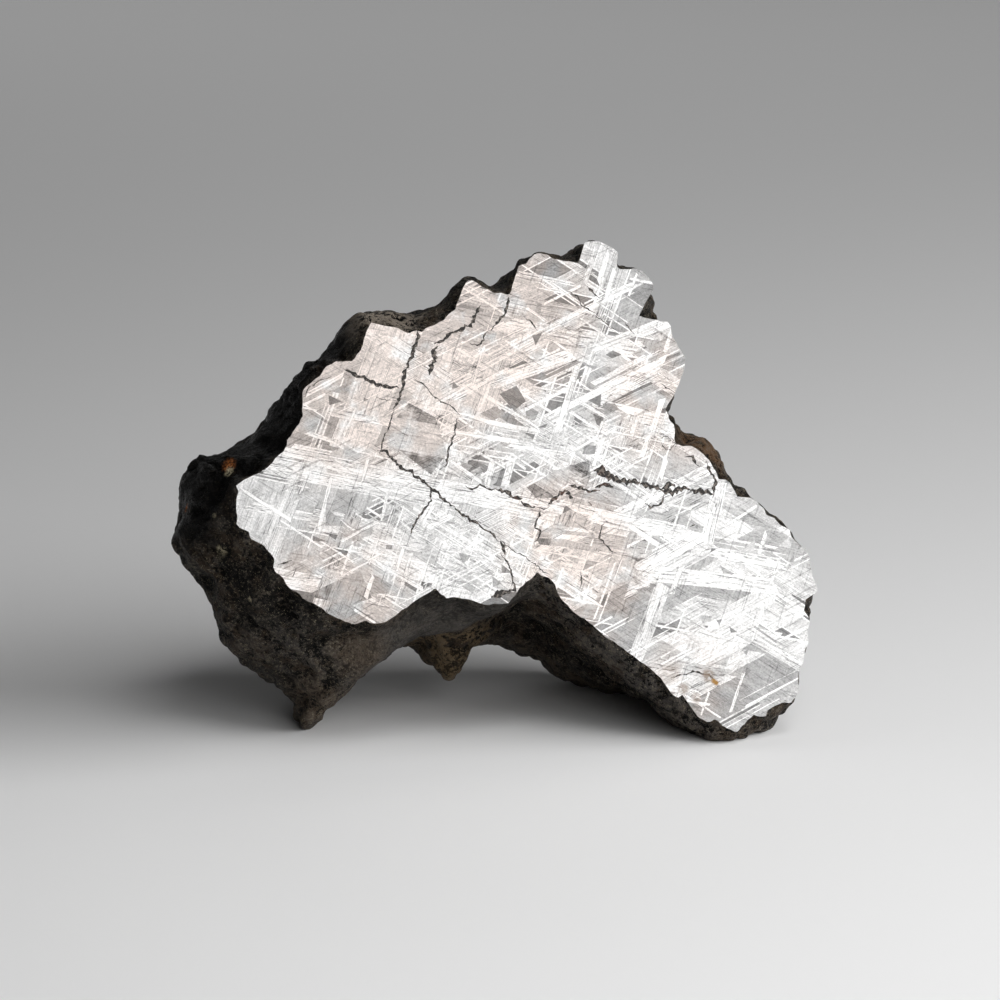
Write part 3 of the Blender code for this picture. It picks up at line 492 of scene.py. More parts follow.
# Darker fields between the bands, read from the photo: brightness, then corners (across, up) in mm.
greyFields = [
    (0.69, (-17.2, 7.9), (-14.5, 10.6), (-11.3, 8.6), (-10.2, 4.0), (-12.5, 1.5), (-16.2, 4.8)),
    (0.66, (-0.5, -0.9), (3.5, 1.0), (7.8, 2.0), (7.8, 0.2), (4.7, -0.8), (2.6, -2.4), (0.7, -2.4)),
    (0.58, (-29.5, -12.3), (-22.5, -9.7), (-21.3, -13.2), (-24.0, -14.0)),
    (0.66, (5.9, 8.6), (8.8, 9.5), (9.0, 8.0), (6.9, 7.2)),
    (0.54, (-20.8, -10.3), (-18.6, -11.8), (-19.3, -12.8), (-21.5, -12.7)),
    (0.36, (-2.9, 11.0), (-0.6, 11.9), (0.4, 9.9), (-1.2, 8.8)),
    (0.32, (8.2, 9.6), (10.2, 10.3), (9.9, 8.6)),
    (0.32, (11.2, 15.1), (12.2, 15.6), (13.3, 15.0), (12.0, 14.6)),
    (0.36, (2.0, 18.1), (3.3, 18.3), (2.3, 16.8)), (0.32, (1.4, 6.5), (2.9, 6.9), (2.6, 6.4)),
    (0.32, (8.9, 7.8), (10.2, 7.2), (9.9, 5.9), (9.2, 6.4)),
    (0.45, (10.2, 9.0), (11.8, 8.9), (12.3, 8.1), (10.4, 7.6)),
    (0.51, (-5.6, 8.7), (-3.6, 9.5), (-2.2, 8.5), (-4.0, 7.7)),
    (0.36, (-8.6, 12.9), (-8.0, 12.2), (-8.9, 12.0)), (0.36, (-8.0, 11.3), (-7.0, 11.0), (-8.3, 10.6)),
    (0.33, (7.0, 13.4), (7.8, 12.4), (6.7, 12.0)), (0.45, (8.0, 14.2), (10.0, 13.7), (9.6, 13.3)),
    (0.54, (3.0, 22.3), (3.6, 22.0), (3.2, 20.3), (2.6, 20.6)),
    (0.48, (0.3, 9.6), (1.9, 8.4), (1.3, 7.4), (0.2, 7.8)),
    (0.58, (15.9, 16.4), (18.2, 16.7), (17.6, 14.9)),
    (0.43, (18.9, 14.3), (20.9, 14.9), (20.9, 14.5), (18.9, 13.9)),
    (0.33, (-24.5, 12.2), (-22.9, 11.3), (-24.5, 10.9)),
    (0.54, (-24.1, 12.6), (-22.6, 13.3), (-21.7, 12.8), (-22.4, 12.1)),
    (0.41, (-20.1, 11.6), (-19.5, 11.3), (-20.2, 11.1)), (0.66, (-23.2, 6.0), (-20.9, 4.4), (-23.0, 4.1)),
    (0.66, (-30.0, 0.2), (-26.0, 0.3), (-27.7, -2.0)), (0.54, (-26.0, -1.6), (-23.6, -4.2), (-26.3, -3.9)),
    (0.58, (-24.2, -5.3), (-20.2, -3.7), (-20.6, -5.4), (-23.0, -6.1)),
    (0.36, (-28.0, -5.0), (-26.2, -5.9), (-28.0, -5.7)), (0.66, (-35.0, 1.4), (-33.4, 0.4), (-35.1, 0.0)),
    (0.45, (-18.9, -6.8), (-18.1, -6.9), (-18.3, -7.4), (-19.0, -7.3)),
    (0.66, (-17.7, -1.2), (-14.9, -1.5), (-15.2, -2.8)),
    (0.66, (-12.9, -4.4), (-10.2, -3.4), (-10.0, -4.9)), (0.36, (-6.6, 2.8), (-4.9, 1.9), (-5.8, 1.2)),
    (0.51, (-8.7, 3.0), (-7.1, 2.2), (-8.2, 1.4)), (0.45, (7.4, 3.9), (8.9, 3.7), (8.6, 2.7), (7.0, 2.8)),
    (0.41, (5.0, 1.6), (5.9, 1.5), (5.7, 1.2)), (0.45, (-4.6, -10.2), (-3.3, -11.4), (-4.7, -11.3)),
    (0.51, (-5.9, -11.6), (-4.8, -12.6), (-6.0, -13.0)), (0.54, (-9.9, -8.4), (-8.3, -8.9), (-9.5, -9.9)),
    (0.66, (0.9, -6.1), (7.5, -7.2), (7.6, -7.7), (0.9, -6.6)),
    (0.66, (0.2, -7.3), (3.5, -7.6), (8.0, -9.1), (8.0, -9.6), (3.4, -8.6), (0.4, -8.1)),
    (0.45, (12.2, -14.6), (13.9, -14.3), (13.3, -15.3)),
    (0.41, (13.9, -15.0), (14.2, -13.9), (15.0, -14.2)),
    (0.54, (15.6, -14.0), (17.2, -14.2), (17.0, -15.1)),
    (0.66, (12.2, -7.2), (13.2, -7.3), (13.0, -8.2), (11.6, -8.3)),
    (0.39, (20.6, -7.3), (21.1, -7.0), (21.0, -7.6)), (0.45, (18.5, -10.2), (20.0, -9.9), (19.8, -10.5)),
    (0.66, (26.2, -10.7), (28.4, -9.4), (28.0, -11.2)), (0.58, (32.4, -12.6), (33.3, -11.7), (33.2, -12.7)),
    (0.66, (31.3, -10.5), (32.8, -9.4), (33.1, -10.9)), (0.54, (23.4, -12.3), (25.3, -13.6), (23.8, -13.5)),
    (0.54, (20.3, -18.5), (21.8, -18.6), (21.5, -19.3), (20.4, -19.4)),
    (0.45, (22.3, -19.2), (23.0, -19.1), (22.6, -19.9)),
    (0.36, (20.4, -19.7), (21.2, -19.8), (21.0, -20.1)),
    (0.36, (23.9, -20.1), (24.9, -20.9), (24.0, -20.9)),
    (0.45, (25.4, -23.4), (26.1, -23.1), (25.8, -23.9)),
    (0.36, (25.2, -26.6), (26.2, -25.8), (25.6, -25.3)),
    (0.36, (21.6, -26.0), (22.7, -26.0), (22.6, -26.3)), (0.43, (8.4, -17.1), (9.6, -16.9), (9.1, -17.9)),
    (0.58, (26.8, -29.8), (29.0, -28.7), (28.8, -29.6), (27.0, -30.2)),
    (0.51, (27.2, -20.2), (29.9, -22.5), (29.8, -22.7), (27.1, -20.5)),
    (0.54, (30.5, -16.6), (31.6, -17.6), (31.6, -17.8), (30.4, -16.8)),
    (0.54, (30.2, -17.1), (31.4, -17.9), (31.4, -18.2), (30.1, -17.3)),
]

# Bright bands, read from the photo: half-width, start and end (across, up) in mm. The broad ones are bundles.
brightBands = [
    (1.9, (-32.0, 4.6), (-12.5, -0.7)), (1.3, (-12.0, -0.2), (3.5, -4.3)), (0.7, (-2.0, 4.7), (5.5, 3.1)),
    (1.0, (13.8, -12.6), (30.5, -15.6)), (0.6, (22.5, -10.6), (31.5, -13.2)),
    (0.9, (22.0, -9.5), (24.5, -2.0)), (1.0, (12.8, -12.3), (21.0, -8.5)), (0.9, (-4.0, 12.4), (7.0, 15.4)),
    (0.45, (4.0, 8.2), (19.0, 14.2)), (0.25, (2.6, 18.4), (16.0, 23.6)), (0.5, (9.5, 15.9), (20.0, 19.2)),
    (0.35, (-8.6, 10.9), (-1.5, 14.0)), (0.35, (9.2, 11.5), (16.5, 14.6)), (0.3, (0.2, 8.9), (6.0, 11.2)),
    (0.45, (4.1, 5.8), (7.4, 13.9)), (0.4, (16.3, 5.0), (18.0, 9.1)), (0.35, (9.4, 24.4), (11.2, 28.6)),
    (0.35, (11.2, 24.2), (12.8, 28.2)), (0.3, (12.0, 22.4), (13.4, 25.9)),
    (0.3, (18.9, 14.9), (20.4, 18.3)), (0.25, (-6.2, 12.5), (-4.2, 17.0)), (0.3, (-4.6, 10.8), (1.6, 6.4)),
    (0.2, (1.6, 21.6), (3.9, 19.8)), (0.2, (0.4, 10.6), (3.8, 8.1)), (0.12, (5.2, 24.6), (9.0, 21.5)),
    (0.12, (10.8, 21.8), (14.5, 19.0)), (0.15, (8.4, 19.9), (11.8, 17.2)),
    (0.12, (11.5, 20.3), (15.6, 17.3)), (0.15, (4.4, 17.4), (6.2, 16.0)), (0.35, (-7.0, 8.3), (1.5, 5.9)),
    (0.25, (-25.0, 2.0), (-27.2, -4.3)), (0.2, (-18.2, -0.3), (-19.2, -3.8)),
    (0.4, (-12.5, -2.0), (-14.2, -4.3)), (0.25, (-16.8, -7.4), (-18.6, -11.5)),
    (0.25, (-15.8, -8.0), (-17.4, -12.0)), (0.3, (-20.9, -10.5), (-22.1, -13.2)),
    (0.2, (-20.3, 3.9), (-21.2, 1.2)), (0.2, (-21.2, 10.4), (-23.0, 7.1)),
    (0.3, (-29.5, 6.2), (-24.8, 5.0)), (0.3, (-27.6, 7.7), (-24.4, 6.4)),
    (0.25, (-36.4, 1.3), (-30.5, -3.0)), (0.3, (-20.4, -8.8), (-14.8, -12.6)),
    (0.3, (-16.9, -4.3), (-9.0, -10.4)), (0.35, (-12.9, -4.0), (-9.9, -6.2)),
    (0.2, (-24.5, -6.0), (-20.0, -4.0)), (0.4, (-13.5, -5.1), (-10.3, -3.7)),
    (0.3, (-27.2, 12.4), (-22.4, 14.6)), (0.35, (-9.5, 6.6), (-1.0, 4.9)), (0.18, (2.2, 1.6), (11.8, 6.0)),
    (0.25, (-9.9, 3.0), (-6.2, 0.2)), (0.2, (-6.4, 4.0), (-2.9, 1.6)), (0.25, (0.5, 4.2), (5.0, 1.6)),
    (0.25, (6.0, 8.2), (10.5, 5.0)), (0.25, (7.2, 9.4), (10.8, 7.1)), (0.45, (-4.6, 2.2), (-5.6, -0.3)),
    (0.5, (-2.2, 2.4), (-3.3, -0.6)), (0.2, (9.0, 4.7), (10.1, 6.8)), (0.35, (13.6, 4.8), (14.6, 7.4)),
    (0.3, (14.6, 1.9), (15.9, 4.6)), (0.25, (8.3, 1.2), (9.9, 4.7)), (0.35, (16.8, -0.9), (17.8, 1.6)),
    (0.2, (24.5, -7.5), (29.0, -5.2)), (0.25, (20.0, -20.4), (24.3, -21.9)),
    (0.35, (16.8, -15.5), (18.5, -12.0)), (0.2, (29.9, -15.0), (31.2, -12.3)),
    (0.2, (23.0, -30.8), (25.2, -26.0)), (0.3, (28.8, -11.0), (29.9, -8.7)),
    (0.3, (12.2, -6.6), (15.8, -9.2)), (0.2, (16.6, -8.2), (18.4, -9.6)),
]

# Cracks filled with dark oxide, read from the photo: half-width, then (across, up) points in mm.
cracks = [
    (0.19, (-12.5, 19.6), (-13.9, 15.9), (-15.2, 12.5), (-16.3, 9.8)),
    (0.1, (-16.3, 9.8), (-17.9, 6.2), (-19.0, 4.7)),
    (0.19, (-22.2, 15.2), (-20.3, 14.3), (-18.5, 13.3), (-17.3, 13.1), (-15.7, 12.3)),
    (0.17, (-19.0, 4.7), (-18.0, 4.7), (-16.9, 3.4), (-15.1, 1.9), (-12.8, 0.0), (-9.9, -2.8)),
    (0.14, (-9.9, -2.8), (-6.9, -5.2), (-4.5, -7.3)), (0.06, (-4.5, -7.3), (-2.2, -9.2), (1.4, -12.0)),
    (0.1, (-12.5, 0.0), (-13.2, -2.2), (-15.0, -4.0), (-15.8, -6.0)),
    (0.17, (-0.6, 23.2), (-1.3, 20.9), (-3.3, 19.1)), (0.09, (-3.3, 19.1), (-4.8, 17.3), (-6.1, 17.4)),
    (0.2, (-4.3, 22.3), (-5.8, 19.9), (-8.5, 18.8), (-10.5, 17.6)),
    (0.24, (-10.5, 17.6), (-11.1, 15.8), (-11.5, 13.9)),
    (0.07, (-13.5, 13.4), (-11.4, 11.8), (-9.9, 10.4), (-8.2, 8.7)),
    (0.1, (-8.6, 8.3), (-9.0, 6.8), (-10.3, 3.8), (-11.3, 2.0)),
    (0.36, (8.7, 0.4), (10.3, -0.4), (12.0, -1.0), (14.1, -1.3)),
    (0.3, (14.1, -1.3), (17.2, -2.4), (20.5, -2.6)), (0.5, (8.3, 0.7), (9.5, 0.4), (10.4, 0.1)),
    (0.3, (8.2, -1.3), (9.4, -1.2), (10.6, -1.6)), (0.45, (16.8, -2.1), (18.6, -2.2)),
    (0.3, (20.5, -2.6), (22.2, -3.1), (23.4, -3.5)), (0.17, (23.4, -3.5), (23.9, -1.6), (22.8, 0.8)),
    (0.16, (4.8, -0.9), (6.9, -1.7), (8.8, -2.1)),
    (0.12, (17.2, -2.7), (16.4, -4.0), (15.3, -4.6), (14.5, -3.9)),
    (0.12, (-8.3, -0.3), (-6.2, -0.6), (-4.4, -0.8)),
    (0.24, (-4.4, -0.7), (-3.4, -1.1), (-2.4, -2.0), (-1.2, -2.3)),
    (0.26, (-1.5, -2.7), (-0.3, -3.4), (0.3, -3.3)), (0.08, (0.3, -3.3), (1.0, -3.4), (2.0, -3.2)),
    (0.22, (2.0, -3.2), (2.6, -2.2), (3.6, -2.0), (4.9, -2.2)), (0.35, (4.4, -2.0), (5.3, -2.6)),
    (0.3, (7.3, -3.2), (7.7, -3.6)), (0.11, (0.9, -3.6), (0.0, -6.0), (0.9, -6.3), (-0.2, -8.1)),
    (0.2, (-4.5, -7.3), (-4.1, -9.1)), (0.1, (-4.6, -9.1), (-3.4, -10.6), (-3.6, -13.0)),
    (0.28, (-6.3, -14.3), (-4.9, -14.2), (-3.4, -13.4), (-3.6, -12.6)),
    (0.09, (7.0, 23.5), (8.1, 22.8), (9.3, 21.3), (10.1, 20.4)),
    (0.06, (10.1, 20.4), (10.9, 19.3), (12.8, 17.9)), (0.12, (9.5, 23.9), (11.2, 22.4)),
    (0.07, (13.6, 19.4), (15.3, 17.6)), (0.1, (1.0, 20.5), (2.3, 19.5), (2.8, 18.7)),
    (0.08, (8.9, -5.8), (8.1, -7.9), (10.1, -10.0)), (0.06, (5.7, -11.9), (5.0, -13.8)),
    (0.1, (-32.6, -8.2), (-31.7, -8.2), (-30.8, -8.0)), (0.08, (-30.3, -9.0), (-30.8, -10.0)),
    (0.06, (-27.6, 12.3), (-26.5, 13.3), (-24.0, 14.6)),
    (0.05, (-18.7, 11.6), (-17.5, 11.0), (-16.6, 10.9)),
    (0.1, (16.0, -25.7), (18.2, -25.5), (20.6, -25.6), (21.4, -26.8)),
    (0.15, (20.2, 1.7), (21.2, 1.5), (21.8, 0.3)),
    (0.06, (17.3, 3.9), (18.0, 4.5), (18.9, 4.3), (19.1, 3.5), (18.6, 2.7), (17.7, 2.8), (17.3, 3.7)),
    (0.1, (3.3, 14.7), (4.1, 14.8)), (0.07, (18.0, 11.2), (19.4, 9.9)), (0.2, (20.1, -7.0), (20.6, -7.2)),
]


def rimRadius(rim, angles):
    # distance of the rim from the middle at these angles in radians
    rimAngles = np.unwrap(np.arctan2(rim[:, 1], rim[:, 0]))
    order = np.argsort(rimAngles % (2 * np.pi))
    known = (rimAngles % (2 * np.pi))[order]
    far = np.hypot(rim[:, 0], rim[:, 1])[order]
    known = np.concatenate([known - 2 * np.pi, known, known + 2 * np.pi])
    return np.interp(angles % (2 * np.pi), known, np.tile(far, 3))


def insidePolygon(points, polygon):
    # even-odd rule, for whole arrays of points
    x, y = points[:, 0], points[:, 1]
    inside = np.zeros(len(points), bool)
    for (x0, y0), (x1, y1) in zip(polygon, np.roll(polygon, -1, axis=0)):
        if y0 != y1:
            inside ^= ((y0 > y) != (y1 > y)) & (x < (x1 - x0) * (y - y0) / (y1 - y0) + x0)
    return inside


def doubleArea(a, b, c):
    # twice the area of each triangle, positive where it runs anticlockwise
    return (b - a)[..., 0] * (c - a)[..., 1] - (b - a)[..., 1] * (c - a)[..., 0]


def slantedQuad(centre, angle, cutAngle, length, half):
    # a plate's outline: long sides along one direction, ends along another
    along = np.array([np.cos(angle), np.sin(angle)])
    normal = np.array([-along[1], along[0]])
    end, side = np.hsplit(np.array([(-1, -1), (1, -1), (1, 1), (-1, 1)]), 2)
    slant = 1 / np.tan(cutAngle - angle)
    return centre + (end * length / 2 + side * half * slant) * along + side * half * normal


def bandQuad(start, end, angle, slant, half):
    # the outline of a band between two points, and its middle
    middle = (start + end) / 2
    return slantedQuad(middle, angle, angle + slant, np.linalg.norm(end - start), half), middle


def somewhere(rng, rim):
    # a random place on the cut, as likely in any part of it
    bearing = rng.uniform(-np.pi, np.pi)
    far = rimRadius(rim, bearing) * np.sqrt(rng.uniform(0, 1))
    return far * np.array([np.cos(bearing), np.sin(bearing)])


def strewnPlates(rng, rim, kind):
    # plates strewn over the cut, alone or side by side in packets.
    # A plate is its outline, a point of its middle line, its angle, half-width, brightness, seed and lining.
    plates = []
    families = len(etch["angles"])
    for _ in range(kind["count"]):
        family = int(rng.choice(families, p=etch["share"]))
        angle = np.radians(etch["angles"][family] + rng.normal(0, etch["angleSpread"]))
        cutAngle = np.radians(etch["angles"][(family + rng.integers(1, families)) % families])
        centre = somewhere(rng, rim)
        length = rng.uniform(*kind["length"])
        side = np.array([-np.sin(angle), np.cos(angle)])
        for _ in range(rng.integers(1, kind["packet"] + 1)):
            half = rng.uniform(*kind["half"])
            outline = slantedQuad(centre, angle, cutAngle, length, half)
            shade, seed = rng.uniform(*kind["shade"]), rng.uniform(*etch["seeds"])
            plates.append((outline, centre, angle, half, shade, seed, kind["lined"]))
            centre = centre + side * (2 * half + kind["gap"] * rng.uniform(*etch["gapSpread"]))
            length = length * rng.uniform(*etch["lengthSpread"])
    return plates


def darkTriangles(rng, rim):
    # small dark triangles between three crossing lines, and the bright blades that shut each of them in
    kind, edge = etch["darks"], etch["edges"]
    darks, blades = [], []
    for _ in range(kind["count"]):
        angles = np.radians([etch["angles"][i] for i in rng.permutation(len(etch["angles"]))[:3]])
        normals = np.stack([-np.sin(angles), np.cos(angles)], axis=1)
        centre = somewhere(rng, rim)
        size = rng.uniform(*kind["size"])
        side = np.array([1, -1, 1]) * rng.choice((-1, 1)) * kind["reach"]
        offsets = (normals * centre).sum(axis=1) + size * side
        pairs = [[0, 1], [1, 2], [2, 0]]
        corners = np.array([np.linalg.solve(normals[pair], offsets[pair]) for pair in pairs])
        if np.ptp(corners, axis=0).max() > kind["longest"] * size:
            continue
        if doubleArea(*corners) < 0:
            corners = corners[::-1]
        shade, seed = rng.uniform(*kind["shade"]), rng.uniform(*etch["seeds"])
        darks.append((corners, centre, angles[0], kind["half"], shade, seed, kind["lined"]))
        for p, q in zip(corners, np.roll(corners, -1, axis=0)):
            step = (q - p) / np.linalg.norm(q - p)
            half = rng.uniform(*edge["half"])
            out = np.array([step[1], -step[0]]) * half * edge["outside"]
            start = p - step * rng.uniform(*edge["beyond"]) + out
            end = q + step * rng.uniform(*edge["beyond"]) + out
            angle = math.atan2(*(q - p)[::-1])
            outline, middle = bandQuad(start, end, angle, edge["slant"], half)
            shade, seed = rng.uniform(*edge["shade"]), rng.uniform(*etch["seeds"])
            blades.append((outline, middle, angle, half, shade, seed, edge["lined"]))
    return darks, blades


def placedPlates(rng):
    # the fields and bands read from the photo
    plates = []
    kind = etch["placedFields"]
    for shade, *corners in greyFields:
        corners = np.array(corners)
        if doubleArea(*corners[:3]) < 0:
            corners = corners[::-1]
        angle = np.radians(rng.choice(etch["angles"]))
        shade = kind["lift"] + (1 - kind["lift"]) * shade
        seed = rng.uniform(*etch["seeds"])
        plates.append((corners, corners.mean(axis=0), angle, kind["half"], shade, seed, kind["lined"]))
    kind = etch["placedBands"]
    for half, start, end in brightBands:
        start, end = np.array(start), np.array(end)
        angle = math.atan2(*(end - start)[::-1])
        slant = np.radians(rng.choice(kind["slants"]))
        outline, middle = bandQuad(start, end, angle, slant, half)
        shade, seed = rng.uniform(*kind["shade"]), rng.uniform(*etch["seeds"])
        lined = kind["lined"] if half > kind["broad"] else kind["thinLined"]
        plates.append((outline, middle, angle, half, shade, seed, lined))
    return plates


def makePlates(rim):
    # in drawing order: later ones lie over earlier ones
    rng = np.random.default_rng(etch["seed"])
    fields, bundles, blades = (strewnPlates(rng, rim, etch[name]) for name in ("fields", "bundles", "blades"))
    darks, edges = darkTriangles(rng, rim)
    return fields + bundles + darks + blades + edges + placedPlates(rng)


def crackOutline(halfWidth, points, rng):
    # the line in short steps, pushed sideways at random, with a ragged width that runs out at its ends
    kind = etch["crack"]
    points = np.array(points)
    step = np.linalg.norm(np.diff(points, axis=0), axis=1)
    far = np.concatenate([[0], np.cumsum(step)])
    at = np.linspace(0, far[-1], max(kind["leastPoints"], int(far[-1] / kind["step"])))
    line = np.stack([np.interp(at, far, points[:, i]) for i in (0, 1)], axis=1)
    along = unit(np.gradient(line, axis=0))
    side = np.stack([-along[:, 1], along[:, 0]], axis=1)
    taper = np.clip(np.minimum(at, far[-1] - at) / kind["taper"], kind["leastTaper"], 1)
    turns = at[:: kind["wanderEvery"]]
    wander = np.interp(at, turns, rng.normal(0, kind["wander"], len(turns)))
    line = line + side * (wander + rng.normal(0, kind["shake"], len(at)))[:, None]
    wide = halfWidth * kind["wide"] * taper
    left, right = (wide * rng.uniform(*kind["ragged"], len(at)) for _ in range(2))
    return np.concatenate([line + side * left[:, None], (line - side * right[:, None])[::-1]])


def clippedToRim(segments, rim):
    # the stretches of each segment inside the rim, ending just short of it
    edge = np.roll(rim, -1, axis=0) - rim
    kept = []
    for a, b in segments:
        d = b - a
        cross = d[0] * edge[:, 1] - d[1] * edge[:, 0]
        cross = np.where(np.abs(cross) < etch["leastCross"], etch["leastCross"], cross)
        off = rim - a
        t = (off[:, 0] * edge[:, 1] - off[:, 1] * edge[:, 0]) / cross
        u = (off[:, 0] * d[1] - off[:, 1] * d[0]) / cross
        hits = np.sort(t[(t > 0) & (t < 1) & (u >= 0) & (u < 1)])
        bounds = np.concatenate([[0], hits, [1]])
        length = np.hypot(*d)
        for i, (start, end) in enumerate(zip(bounds, bounds[1:])):
            middle = a + d * (start + end) / 2
            if np.hypot(*middle) > rimRadius(rim, math.atan2(middle[1], middle[0])):
                continue
            start = start + (etch["rimGap"] / length if i > 0 else 0)
            end = end - (etch["rimGap"] / length if i < len(hits) else 0)
            if (end - start) * length > etch["shortest"]:
                kept.append((a + d * start, a + d * end))
    return kept


def flatFace(rim, outlines):
    # a flat triangulation inside the rim whose edges follow every outline; a point's number on the rim, or -1
    sides = [side for outline in outlines for side in zip(outline, np.roll(outline, -1, axis=0))]
    inner = np.reshape(clippedToRim(sides, rim), (-1, 2))
    count = len(rim)
    around = np.arange(count)
    pairs = np.arange(count, count + len(inner)).reshape(-1, 2)
    edges = np.concatenate([np.stack([around, (around + 1) % count], axis=1), pairs])
    corners = np.concatenate([rim, inner])
    found = geometry.delaunay_2d_cdt(corners.tolist(), edges.tolist(), [], 1, etch["weld"])
    points, triangles, origin = np.array(found[0]), np.array(found[2]), found[3]
    number = np.repeat(np.arange(len(points)), [len(sources) for sources in origin])
    source = np.array([source for sources in origin for source in sources])
    number, source = number[source < count][::-1], source[source < count][::-1]
    fromRim = np.full(len(points), -1)
    fromRim[number] = source
    return points, triangles, fromRim


def ownerOf(middles, outlines):
    # the last outline laid over each point, or -1
    owner = np.full(len(middles), -1)
    for i, outline in enumerate(outlines):
        owner[insidePolygon(middles, outline)] = i
    return owner


def bareFields(faces, points, owner):
    # joins neighbouring triangles that no plate covers: each one's field is the lowest triangle that it is
    # joined to, and the field's area is the sum of its triangles'
    edges = np.sort(np.stack([faces, np.roll(faces, -1, axis=1)], axis=-1).reshape(-1, 2), axis=1)
    face = np.repeat(np.arange(len(faces)), 3)
    bare = owner[face] < 0
    edges, face = edges[bare], face[bare]
    order = np.lexsort(edges.T)
    edges, face = edges[order], face[order]
    same = (edges[1:] == edges[:-1]).all(axis=1)
    first, second = face[:-1][same], face[1:][same]
    field = np.arange(len(faces))
    before = None
    while before is None or (field != before).any():
        before = field.copy()
        low = np.minimum(field[first], field[second])
        np.minimum.at(field, first, low)
        np.minimum.at(field, second, low)
    area = np.abs(doubleArea(*(points[faces[:, i]] for i in range(3)))) / 2
    return field, np.bincount(field, area, len(faces))[field]


def cutLooks(cut, places, plates, crackOutlines):
    # what the etched material reads from each triangle, and how far each of its corners lies from the middle
    # line of its plate. Triangles that no plate covers take random values, one set for each field.
    middles = places[cut].mean(axis=1)
    owner = ownerOf(middles, [outline for outline, *_ in plates])
    field, area = bareFields(cut, places, owner)
    cracked = np.zeros(len(cut), bool)
    for outline in crackOutlines:
        cracked |= insidePolygon(middles, outline)
    kind = etch["bare"]
    rng = np.random.default_rng(kind["seed"])
    shade = rng.uniform(*kind["shade"], len(cut))[field]
    darkened = (area < kind["small"]) & (rng.uniform(0, 1, len(cut))[field] < kind["often"])
    shade = np.where(darkened, kind["dark"], shade)
    family = rng.integers(0, len(etch["angles"]), len(cut))[field]
    angle = np.radians(np.array(etch["angles"])[family])
    seed = rng.uniform(*etch["seeds"], len(cut))[field]
    own = np.array([(*centre, *rest) for _, centre, *rest in plates])[owner]
    covered = owner >= 0
    angle, half, shade, seed, lined = (
        np.where(covered, own[:, i], bare)
        for i, bare in enumerate((angle, kind["half"], shade, seed, kind["lined"]), start=2)
    )
    normal = np.stack([-np.sin(angle), np.cos(angle)], axis=1)
    across = ((places[cut] - own[:, None, :2]) * normal[:, None]).sum(axis=-1)
    across = np.where(covered[:, None], across, 0)
    grain = np.stack([np.cos(angle), np.sin(angle), seed], axis=1)
    return {"shade": shade, "half": half, "lined": lined, "crack": cracked, "grain": grain}, across


def crustSurface():
    # the loft, pushed outwards by the relief and evened, then nicked along the cut's edge and roughened
    rings = crustRings()
    rings = rings + outward(rings, lump["normalPasses"]) * relief(rings)[..., None]
    rings = evened(rings, lump["pointPasses"])
    size, seed, tall, deep = crustRelief["nicks"]
    nicks = tall * softNoise(rings / size + seed) * np.exp(-rings[..., 2] / deep)
    rings[..., :2] += unit(rings[..., :2]) * nicks[..., None]
    rough = roughness(rings)
    return rings + outward(rings, crustRelief["roughPasses"]) * rough[..., None], rough


def crustFaces(rows, columns):
    # quads between neighbouring rings, and a fan from the last ring to the point that closes the back, each
    # with its place on the map
    row, column = np.indices((rows - 1, columns)).reshape(2, -1)
    after = (column + 1) % columns
    here, deeper = row * columns, (row + 1) * columns
    quads = np.stack([here + column, deeper + column, deeper + after, here + after], axis=1)
    k = np.arange(columns)
    last = (rows - 1) * columns
    fan = np.stack([last + (k + 1) % columns, last + k, np.full(columns, rows * columns)], axis=1)
    quadMap = np.stack([[column, column, column + 1, column + 1], [row, row + 1, row + 1, row]], axis=-1)
    fanMap = np.stack([[k + 1, k, k + 0.5], [k * 0 + rows - 1, k * 0 + rows - 1, k * 0 + rows]], axis=-1)
    uv = np.concatenate([m.transpose(1, 0, 2).reshape(-1, 2) for m in (quadMap, fanMap)]) / (columns, rows)
    left, top = faceMap["left"], faceMap["stripTop"]
    return quads, fan, (left, top) + uv * (faceMap["wide"], -faceMap["stripTall"])


def attribute(mesh, name, kind, domain, values):
    # stores values on the mesh's points, faces or corners, for the materials to read
    layer = mesh.attributes.new(name, kind, domain)
    field = "vector" if kind == "FLOAT_VECTOR" else "value"
    layer.data.foreach_set(field, np.ravel(values).astype(np.float32))


